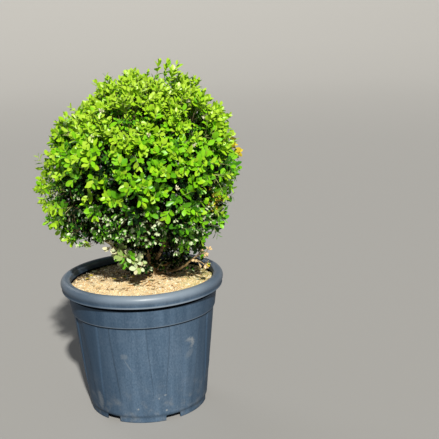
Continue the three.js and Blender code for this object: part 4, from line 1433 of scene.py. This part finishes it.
def full_blade():
    """Corners of a leaf that is 1 long along y and 1 wide along x, and its faces."""
    corners = [(0, 0, 0)]
    for along, half in LEAF_OUTLINE:
        middle = -LEAF_CURL * along**2
        edge = middle + LEAF_FOLD * half
        corners += [(-half, along, edge), (0, along, middle), (half, along, edge)]
    corners[-2] = (0, 1.0, -LEAF_CURL)
    quads = []
    for row in range(3):
        left, middle, right = 1 + 3 * row, 2 + 3 * row, 3 + 3 * row
        quads += [(left, middle, middle + 3, left + 3), (middle, right, right + 3, middle + 3)]
    return np.array(corners), np.array(quads), np.array([(0, 2, 1), (0, 3, 2)])


def small_blade():
    """The same leaf with six corners round its edge and one on its midrib."""
    edge = [(0, 0), (0.40, 0.28), (0.46, 0.65), (0, 1), (-0.46, 0.65), (-0.40, 0.28)]
    corners = [(x, y, LEAF_FOLD * abs(x) - LEAF_CURL * y * y) for x, y in edge] + [(0, 0.5, -LEAF_CURL / 4)]
    triangles = [(6, corner, (corner + 1) % 6) for corner in range(6)]
    return np.array(corners), np.zeros((0, 4), int), np.array(triangles)


FULL_BLADE, SMALL_BLADE = full_blade(), small_blade()
print("corners of a leaf:", len(FULL_BLADE[0]), "and deep in the ball:", len(SMALL_BLADE[0]))

# %% [markdown]
# Boxwood leaves are waxy, so sunlight leaves small white glints on them. Each finish is one plain colour with
# a fairly sharp gloss, and a fine grain in the bump breaks the glints up. The oldest leaves are duller,
# because glints deep in a dark gap would fill it with light.

# %% Leaf finishes
DULL_LEAVES = ("deep leaf", "shade leaf")
WAXY_GLOSS = 0.38
DULL_GLOSS = 0.12


def leaf_finish(name, colour):
    finish = Finish(name, 0.36)
    finish.colour(colour)
    gloss = DULL_GLOSS if name in DULL_LEAVES else WAXY_GLOSS
    finish.shader.inputs["Specular IOR Level"].default_value = gloss
    finish.bump(finish.grain(finish.place(), 600.0, 2.0), 0.25, 0.0004)
    return finish.material


leaf_materials = [leaf_finish(name, colour) for name, colour in LEAF_TINTS.items()]
print(len(leaf_materials), "leaf colours")

# %% [markdown]
# Leaves stand in pairs up a shoot, each pair turned a quarter round from the one below. Those near the tip
# are small and close to the stem, and the older ones are larger and spread wide. Each blade turns its upper
# side towards the light, which is out of the crown and up.

# %% Where leaves sit and how they turn
LEAF_LENGTH = 0.0262
LEAF_WIDTH = 0.56
PAIR_SPACING = 0.0114
TIP_GAP = 0.0012
LEAF_UNEVEN = 0.40
LEAN_BY_PAIR = np.array([28, 46, 58, 66, 72, 75]) * DEGREE
SIZE_BY_PAIR = np.array([0.70, 0.92, 1.0, 1.0, 0.96, 0.92])


def leaf_sites(shoots, pairs, draw):
    """Places for pairs of leaves, counted from each shoot's tip, with the way that the shoot grows there."""
    count = len(shoots.tip)
    first_half = np.linalg.norm(shoots.tip - shoots.bend, axis=1)
    length = first_half + np.linalg.norm(shoots.bend - shoots.start, axis=1)
    index = np.arange(pairs)[None, :]
    spacing = PAIR_SPACING * shoots.size[:, None]
    back = TIP_GAP + spacing * index * (0.85 + 0.3 * draw.random((count, 1)))
    share = (1 - back / length[:, None])[:, :, None]
    start, bend, tip = (points[:, None] for points in (shoots.start, shoots.bend, shoots.tip))
    places = along_bends(start, bend, tip, share)
    ways = unit(2 * (1 - share) * (bend - start) + 2 * share * (tip - bend))
    turn = draw.random((count, 1)) * 2 * math.pi + index * math.pi / 2
    turn = turn + 0.22 * draw.normal(size=(count, pairs))
    alive = (share[:, :, 0] > 0.05) & (draw.random((count, pairs)) > 0.05 * index / pairs)
    return places, ways, turn, alive


def facing(along, face):
    """The three directions of each leaf, across, along and up, from its length and the way that it faces."""
    across = unit(np.cross(along, face))
    return across, along, np.cross(across, along)


def leaf_frames(ways, turn, lean, draw, towards):
    """The directions of leaves that lean away from their shoots and turn towards a light."""
    side = across_from(ways)
    other = np.cross(ways, side)
    aside = side * np.cos(turn)[:, None] + other * np.sin(turn)[:, None]
    along = ways * np.cos(lean)[:, None] + aside * np.sin(lean)[:, None]
    return facing(along, ways + towards + LEAF_UNEVEN * draw.normal(size=ways.shape))


print("leaves lean by", *LEAN_BY_PAIR[[0, -1]].round(2), "radians, at the tip and furthest down")

# %% [markdown]
# All leaves of a mass become one mesh: a copy of the blade for each place, stretched along the leaf's own
# three directions. A leaf's colour is dealt by chance round its shoot's tone, and it is older the further
# down the shoot it sits.


# %% Leaf meshes and their colours
def leaf_mesh(blade, places, frames, lengths, widths, tints):
    """One copy of a blade for each place, as corners, faces and the material of each face."""
    shape, blade_quads, blade_triangles = blade
    across, along, up = frames
    corners = places[:, None] + shape[None, :, 0:1] * (across * widths[:, None])[:, None]
    corners = corners + shape[None, :, 1:2] * (along * lengths[:, None])[:, None]
    corners = corners + shape[None, :, 2:3] * (up * lengths[:, None])[:, None]
    base = (np.arange(len(places)) * len(shape))[:, None, None]
    quads = (blade_quads[None] + base).reshape(-1, 4)
    triangles = (blade_triangles[None] + base).reshape(-1, 3)
    slots = np.concatenate([tints.repeat(len(blade_quads)), tints.repeat(len(blade_triangles))])
    return corners.reshape(-1, 3), quads, triangles, slots


def deal_tints(tone, kind, pair, draw, underside_and_glint_share):
    """A colour for each leaf: its shoot's own tone, older down the shoot, with a little chance."""
    tints = np.round(tone + 0.45 + 0.68 * pair + 0.6 * draw.normal(size=len(tone)))
    tints = np.clip(tints, TIP, SHADE).astype(int)
    share = np.where(kind == UNDERSIDE_AND_GLINT, underside_and_glint_share, 0.7) * (kind != PLAIN)
    return np.where(draw.random(len(tone)) < share, kind, tints)


def gather_leaves(parts):
    """Joins leaf meshes into one, with the quads' materials before the triangles'."""
    corners, quads, triangles = gather([part[:3] for part in parts])
    quad_slots = [slots[: len(some_quads)] for _, some_quads, _, slots in parts]
    triangle_slots = [slots[len(some_quads) :] for _, some_quads, _, slots in parts]
    return corners, quads, triangles, np.concatenate(quad_slots + triangle_slots)


def leaf_piece(name, parts, nodes):
    corners, quads, triangles, slots = gather_leaves(parts)
    settle(new_piece("leaves_" + name, corners, quads, triangles, leaf_materials, slots), nodes)


print("one leaf has", len(FULL_BLADE[1]), "quads and", len(FULL_BLADE[2]), "triangles")

# %% [markdown]
# The ball's own leaves follow one more rule. Near the top the leaves turn more towards the sun, stand closer to
# their shoots and get young colours further down them, a painted light that adds to the real light in the
# bright dome. Of the leaves low at the front that show their undersides, the single ones that catch the light
# are painted pale most often, as painted glints.

# %% The leaves of the ball
LEAF_LIGHT = direction(11, 42)


def leaves_on(shoots, pairs, draw, blade=FULL_BLADE, light_pull=0.36, underside_and_glint_share=0.10):
    """Dresses many shoots with pairs of leaves, first those of one side and then those across from them."""
    places, ways, turn, alive = leaf_sites(shoots, pairs, draw)
    halves = []
    for half in (0, math.pi):
        chosen = alive & (draw.random(alive.shape) > 0.04)
        shoot, pair = np.nonzero(chosen)
        outward = unit(places[chosen] - CROWN)
        upward = smoothstep(outward[:, 2], 0.1, 0.9)
        lean = LEAN_BY_PAIR[pair] * (1 - 0.25 * upward) + 9 * DEGREE * draw.normal(size=len(pair))
        towards = light_pull * (outward + [0.0, 0.0, 0.9]) + 0.35 * upward[:, None] * LEAF_LIGHT
        frames = leaf_frames(ways[chosen], turn[chosen] + half, lean, draw, towards)
        uneven = 0.86 + 0.28 * draw.random(len(pair))
        lengths = LEAF_LENGTH * shoots.size[shoot] * SIZE_BY_PAIR[pair] * uneven
        widths = lengths * (LEAF_WIDTH + 0.07 * draw.normal(size=len(pair)))
        # Lighter tints near the top are painted light.
        tone = shoots.tone[shoot] - 0.28 * upward * pair
        tints = deal_tints(tone, shoots.kind[shoot], pair, draw, underside_and_glint_share)
        halves.append(leaf_mesh(blade, places[chosen], frames, lengths, widths, tints))
    return halves


for number, mass in enumerate(ball):
    draw = np.random.default_rng(40 + number)
    parts = leaves_on(spray_shoots.of(number), 4, draw)
    parts += leaves_on(tall_shoots.of(number), 6, draw)
    parts += leaves_on(inner_shoots.of(number), 3, draw, SMALL_BLADE)
    parts += leaves_on(glint_shoots.of(number), 2, draw, SMALL_BLADE, light_pull=1.6, underside_and_glint_share=0.5)
    leaf_piece(mass.name, parts, ["foliage_" + mass.name])

# %% [markdown]
# Three low shoots spread over the soil. The left one has large, soft, grey-green leaves. The two at the
# right are thin: one has a few small pale leaves, and the other is dry, with beige leaves on tan twigs. They
# grow by the same rule, inside a small ball each: one to three arms, with side shoots that carry the leaves.
# Each arm has shares of its own for four leaf colours.


# %% The low shoots
def low_twigs(mass, lines, count, draw):
    """Roots and tips of side shoots that stay in the mass's small ball and above the soil."""
    roots, tips = [], []
    while len(roots) < count:
        line = lines[len(roots) % len(lines)]
        share = 0.30 + 0.70 * draw.random()
        root = curve_point(line, share)
        way = unit(curve_point(line, 1.0) - curve_point(line, 0.6))
        way = unit(way + unit(draw.normal(size=3)))
        tip = root + way * mass.tips * (0.22 + 0.28 * draw.random())
        if np.linalg.norm(tip - mass.centre) < mass.tips + 0.012 and tip[2] > SOIL_TOP_Z + 0.014:
            roots.append(root)
            tips.append(tip)
    return np.array(roots), np.array(tips)


def arm_radius(share, angle):
    return lerp(0.003, 0.0014, share)


def low_shoot(mass, arms, count, pairs, leaf_length, tints, arm_shares):
    """Makes the twigs of a low shoot, and hands back its leaves."""
    draw = np.random.default_rng(mass.seed)
    lines = []
    for arm in arms:
        end = mass.centre + np.array(arm)
        bend = lerp(mass.entry + mass.heading * 0.024, end, 0.35)
        lines.append([mass.entry, bend, end])
    roots, tips = low_twigs(mass, lines, count, draw)
    nothing = np.zeros(count)
    size = np.full(count, leaf_length / LEAF_LENGTH)
    shoots = Shoots(roots, lerp(roots, tips, 0.5) + [0, 0, 0.004], tips, nothing, nothing, nothing, size)
    parts = [relief_tube(line, arm_radius, 10, 16, 0.0004) for line in lines]
    parts.append(shoot_tubes(shoots, 0.0013, 0.0006, 5, 4))
    settle(new_piece("twigs_" + mass.name, *gather(parts), [pale_wood.material]), [])

    places, ways, turn, alive = leaf_sites(shoots, pairs, draw)
    leaves = []
    for half in (0, math.pi):
        chosen = alive & (draw.random(alive.shape) > 0.1)
        shoot, pair = np.nonzero(chosen)
        lean = LEAN_BY_PAIR[pair] + 10 * DEGREE * draw.normal(size=len(pair))
        frames = leaf_frames(ways[chosen], turn[chosen] + half, lean, draw, 1.4 * LEAF_LIGHT)
        lengths = leaf_length * SIZE_BY_PAIR[pair] * (0.85 + 0.3 * draw.random(len(pair)))
        picked = np.array([draw.choice(tints, p=arm_shares[number % len(arms)]) for number in shoot])
        leaves.append(leaf_mesh(FULL_BLADE, places[chosen], frames, lengths, lengths * 0.64, picked))
    return leaves


FRONT_ARMS = ((-0.056, 0.002, 0.054), (0.000, -0.008, 0.006), (0.048, 0.006, -0.036))
FRONT_SHARES = ((0.62, 0.18, 0.03, 0.17), (0.12, 0.58, 0.20, 0.10), (0.38, 0.36, 0.08, 0.18))
RIGHT_ARMS = ((0.020, -0.006, 0.026),)
RIGHT_SHARES = ((0.36, 0.26, 0.20, 0.18),)
DRY_ARMS = ((0.018, -0.004, 0.016), (0.010, -0.012, -0.022))
DRY_SHARES = ((0.72, 0.12, 0.12, 0.04), (0.72, 0.12, 0.12, 0.04))
for mass, arms, count, pairs, length, tints, arm_shares, slot in (
    (masses[-3], FRONT_ARMS, 26, 3, 0.0245, [PALE, SOFT, GREEN, UNDERSIDE_AND_GLINT], FRONT_SHARES, "pale_leaf"),
    (masses[-2], RIGHT_ARMS, 9, 3, 0.016, [PALE, GREEN, FULL, DRY], RIGHT_SHARES, "pale_leaf"),
    (masses[-1], DRY_ARMS, 10, 2, 0.0125, [DRY, YELLOW, PALE, GREEN], DRY_SHARES, "dry_leaf"),
):
    parts = low_shoot(mass, arms, count, pairs, length, tints, arm_shares)
    leaf_piece(mass.name, parts, ["foliage_" + mass.name])

# %% [markdown]
# Round the foot of the stem a box tree sends up short weak shoots, with small leaves that never see much light,
# and their dark tints also paint the shade there. Here they start on the lowest boughs, grow out and a little
# up, and hide where the stem enters the soil. They are kept behind and beside the stem, and a few higher up at
# its left.

# %% Weak shoots round the foot
FOOT_SHOOTS = 260
FOOT_FORK_BELOW = 0.47
FOOT_MIDDLE = [*STEM_PLACE, 0.40]
FOOT_FLATTEN = [1.0, 1.0, 0.4]
FOOT_UPWARD = [0.0, 0.0, 0.25]
FOOT_SHAPE = (0.0011, 0.0006, 4, 3)

draw = np.random.default_rng(61)
low_boughs = [mass.line for mass in masses if mass.fork and mass.fork < FOOT_FORK_BELOW]
picked = draw.integers(len(low_boughs), size=FOOT_SHOOTS)
roots = np.array([curve_point(low_boughs[number], 0.1 + 0.9 * draw.random()) for number in picked])
outward = unit(roots - FOOT_MIDDLE) * FOOT_FLATTEN
ways = unit(outward + 0.6 * draw.normal(size=(FOOT_SHOOTS, 3)) + FOOT_UPWARD)
ends = roots + ways * (0.022 + 0.030 * draw.random((FOOT_SHOOTS, 1)))
x, y, z = ends.T
behind = (y > -0.03) & (z > SOIL_TOP_Z + 0.014) & (z < CROWN_FLOOR_Z + 0.03)
at_left = (x < 0.03) & (y > -0.09) & (z > 0.43) & (z < 0.54)
clear = (behind | at_left) & clear_of_stems(ends)
roots, ways, ends = roots[clear], ways[clear], ends[clear]
count = len(roots)
tone = INNER_TONE + 0.7 * draw.normal(size=count)
nobody, kind, size = (np.full(count, value) for value in (0, UNDERSIDE_AND_GLINT, 0.6))
foot_shoots = Shoots(roots, bent(roots, ends, ways, 0.1), ends, nobody, tone, kind, size)
settle(new_piece("twigs_foot", *shoot_tubes(foot_shoots, *FOOT_SHAPE), [wood.material]), [])
leaf_piece("foot", leaves_on(foot_shoots, 3, draw), [])

# %% [markdown]
# Boxwood flowers are small cream heads that sit among the leaves near the tips. Each is a tuft of narrow
# petals round one point. The photographed side shows some, and a few more are spread over the back.

# %% Flower heads
FLOWER_PLACES = ((12, 32), (-25, 48), (-25, 31), (55, 50), (39, 23), (25, 1), (60, 38), (78, 32), (86, 22))
PETALS = 26
PETAL_LENGTH = 0.0068
PETAL_WIDTH = 0.45
FLOWER_SPREAD = 0.0022

placed_ways = np.array([direction(*place) for place in FLOWER_PLACES])
back_ways = golden_directions(60, 9, 0.9)
back_ways = back_ways[(back_ways[:, 1] > 0.1) & (back_ways[:, 2] > -0.2)][::3]
petal_finish = Finish("cream petal", 0.7)
petal_finish.colour(rgb(0.86, 0.82, 0.58))
petal_finish.bump(petal_finish.grain(petal_finish.place(), 900.0), 0.3, 0.0003)
draw = np.random.default_rng(71)
parts = []
for way in [*placed_ways, *back_ways]:
    middle = CROWN + way * (tips_of[owners(way[None])[0]] - 0.002)
    along = unit(way + 0.9 * draw.normal(size=(PETALS, 3)))
    frames = facing(along, draw.normal(size=(PETALS, 3)))
    lengths = PETAL_LENGTH * (0.7 + 0.5 * draw.random(PETALS))
    places = middle + FLOWER_SPREAD * draw.normal(size=(PETALS, 3))
    tints = np.zeros(PETALS, int)
    parts.append(leaf_mesh(SMALL_BLADE, places, frames, lengths, lengths * PETAL_WIDTH, tints))
corners, quads, triangles, slots = gather_leaves(parts)
settle(new_piece("flower_heads", corners, quads, triangles, [petal_finish.material], slots), [])

# %% [markdown]
# Fallen leaves and bits of twig lie about on the soil, most of them round the stem and behind it. A fallen
# leaf lies nearly flat and curls up at its edges, so the same blade is used, tilted only a little.

# %% Litter on the soil
FALLEN_LEAVES = 120
FALLEN_SPREAD = 0.085
FALLEN_TINTS = [DRY, PALE, YELLOW, FULL]
FALLEN_SHARES = [0.66, 0.16, 0.12, 0.06]
TWIG_BITS = 70
TWIG_BIT_SPREAD = 0.090
TWIG_BIT_SHAPE = (0.0010, 0.0007, 5, 3)
LITTER_MIDDLE = (0.000, 0.010)
LITTER_REACH = 0.195
LITTER_RISE = 0.0022


def litter_places(count, spread, draw):
    """Places on the soil, closer together near the stem and kept inside the rim."""
    places = []
    while len(places) < count:
        x, y = LITTER_MIDDLE + spread * draw.normal(size=2)
        if math.hypot(x, y) < LITTER_REACH:
            places.append((x, y, soil_height(x, y) + LITTER_RISE))
    return np.array(places)


draw = np.random.default_rng(81)
places = litter_places(FALLEN_LEAVES, FALLEN_SPREAD, draw)
turn = draw.random(FALLEN_LEAVES) * 2 * math.pi
along = unit(np.stack([np.cos(turn), np.sin(turn), 0.16 * draw.normal(size=FALLEN_LEAVES)], axis=1))
level = unit(np.array([0.0, 0.0, 1.0]) + 0.22 * draw.normal(size=(FALLEN_LEAVES, 3)))
frames = facing(along, level)
lengths = 0.016 + 0.009 * draw.random(FALLEN_LEAVES)
tints = draw.choice(FALLEN_TINTS, size=FALLEN_LEAVES, p=FALLEN_SHARES)
fallen = leaf_mesh(FULL_BLADE, places, frames, lengths, lengths * 0.62, tints)
leaf_piece("fallen", [fallen], [])

starts = litter_places(TWIG_BITS, TWIG_BIT_SPREAD, draw)
turn = draw.random(TWIG_BITS) * 2 * math.pi
reach = 0.008 + 0.022 * draw.random(TWIG_BITS)
lift = 0.0015 * draw.normal(size=TWIG_BITS)
ends = starts + np.stack([np.cos(turn) * reach, np.sin(turn) * reach, lift], axis=1)
bends = lerp(starts, ends, 0.5) + 0.0015 * draw.normal(size=(TWIG_BITS, 3))
bits = twig_tubes(starts, bends, ends, *TWIG_BIT_SHAPE)
settle(new_piece("twig_bits", *bits, [pale_wood.material]), [])

# %% [markdown]
# The floor is plain and pale, and not part of the plant. Far out it curves up like a shallow dish, so that no
# horizon line shows. One light from the front does most of the work, a weak and very soft one from behind
# lifts the dark side, and a pale surround fills the shadows.

# %% Floor and light
FLOOR_SIDES = 96
FLOOR_RADII = (2, 4, 6, 9, 10, 11, 12, 13, 14, 15)
FLOOR_DROP = 0.0005
DISH_FROM = 8
DISH_RISE = 0.085
SURROUND_STRENGTH = 0.10
LIGHT_DISTANCE = 4

floor_finish = Finish("plain floor", 0.9)
floor_finish.colour(rgb(0.385, 0.38, 0.37))
column = np.arange(FLOOR_SIDES)
turn = round_turn(FLOOR_SIDES)
floor_corners = []
for radius in FLOOR_RADII:
    z = np.full(FLOOR_SIDES, DISH_RISE * max(radius - DISH_FROM, 0) ** 2 - FLOOR_DROP)
    floor_corners.append(np.stack([radius * np.cos(turn), radius * np.sin(turn), z], axis=1))
floor_corners.append([(0, 0, -FLOOR_DROP)])
centre = np.full(FLOOR_SIDES, len(FLOOR_RADII) * FLOOR_SIDES)
floor_middle = np.stack([centre, column, (column + 1) % FLOOR_SIDES], axis=1)
floor_faces = grid_faces(len(FLOOR_RADII), FLOOR_SIDES)[:, ::-1]
floor = new_piece("floor", np.vstack(floor_corners), floor_faces, floor_middle, [floor_finish.material])

world = bpy.data.worlds.new("studio")
bpy.context.scene.world = world
world.use_nodes = True
surround = world.node_tree.nodes["Background"]
surround.inputs["Color"].default_value = rgb(0.86, 0.91, 1.0)
surround.inputs["Strength"].default_value = SURROUND_STRENGTH
bpy.context.scene.view_settings.view_transform = "Standard"


def soft_light(name, azimuth, elevation, softness, strength, colour):
    """A light so far away that it falls evenly. Its softness is how wide it looks, in degrees."""
    lamp = bpy.data.lights.new(name, "SUN")
    lamp.angle = softness * DEGREE
    lamp.energy = strength
    lamp.color = colour
    holder = bpy.data.objects.new(name, lamp)
    way = Vector(direction(azimuth, elevation))
    holder.location = way * LIGHT_DISTANCE
    holder.rotation_euler = way.to_track_quat("Z", "Y").to_euler()
    bpy.context.scene.collection.objects.link(holder)


soft_light("key", 11, 39.5, 2.5, 4.4, (1.0, 0.97, 0.90))
soft_light("back", 215, 35, 30, 0.35, (0.95, 0.97, 1.0))
print("lights are in place")

# %% [markdown]
# The camera stands where the picture was taken: about chest height, two and a half metres away, tilted
# down a little, and turned very slightly. Its three axes are written as a matrix, which holds all of that.

# %% Camera
CAMERA_PLACE = (0.245, -2.524, 1.167)
CAMERA_DOWN = 13.2 * DEGREE
CAMERA_ROLL = -2.1 * DEGREE
FOCAL_PIXELS = 850
FRAME_PIXELS = 439
SENSOR_WIDTH = 36

camera = bpy.data.cameras.new("camera")
camera.sensor_width = SENSOR_WIDTH
camera.lens = SENSOR_WIDTH * FOCAL_PIXELS / FRAME_PIXELS
forward = Vector((0, math.cos(CAMERA_DOWN), -math.sin(CAMERA_DOWN)))
level_up = Vector((0, math.sin(CAMERA_DOWN), math.cos(CAMERA_DOWN)))
level_right = Vector((1, 0, 0))
right_axis = level_right * math.cos(CAMERA_ROLL) + level_up * math.sin(CAMERA_ROLL)
up_axis = level_up * math.cos(CAMERA_ROLL) - level_right * math.sin(CAMERA_ROLL)
turn = Matrix((right_axis, up_axis, -forward)).transposed().to_4x4()
viewer = bpy.data.objects.new("camera", camera)
bpy.context.scene.collection.objects.link(viewer)
viewer.matrix_world = Matrix.Translation(CAMERA_PLACE) @ turn
bpy.context.scene.camera = viewer
print("the lens is", round(camera.lens, 1), "mm")

# %% [markdown]
# The dressed plant has to keep the imported model's size.
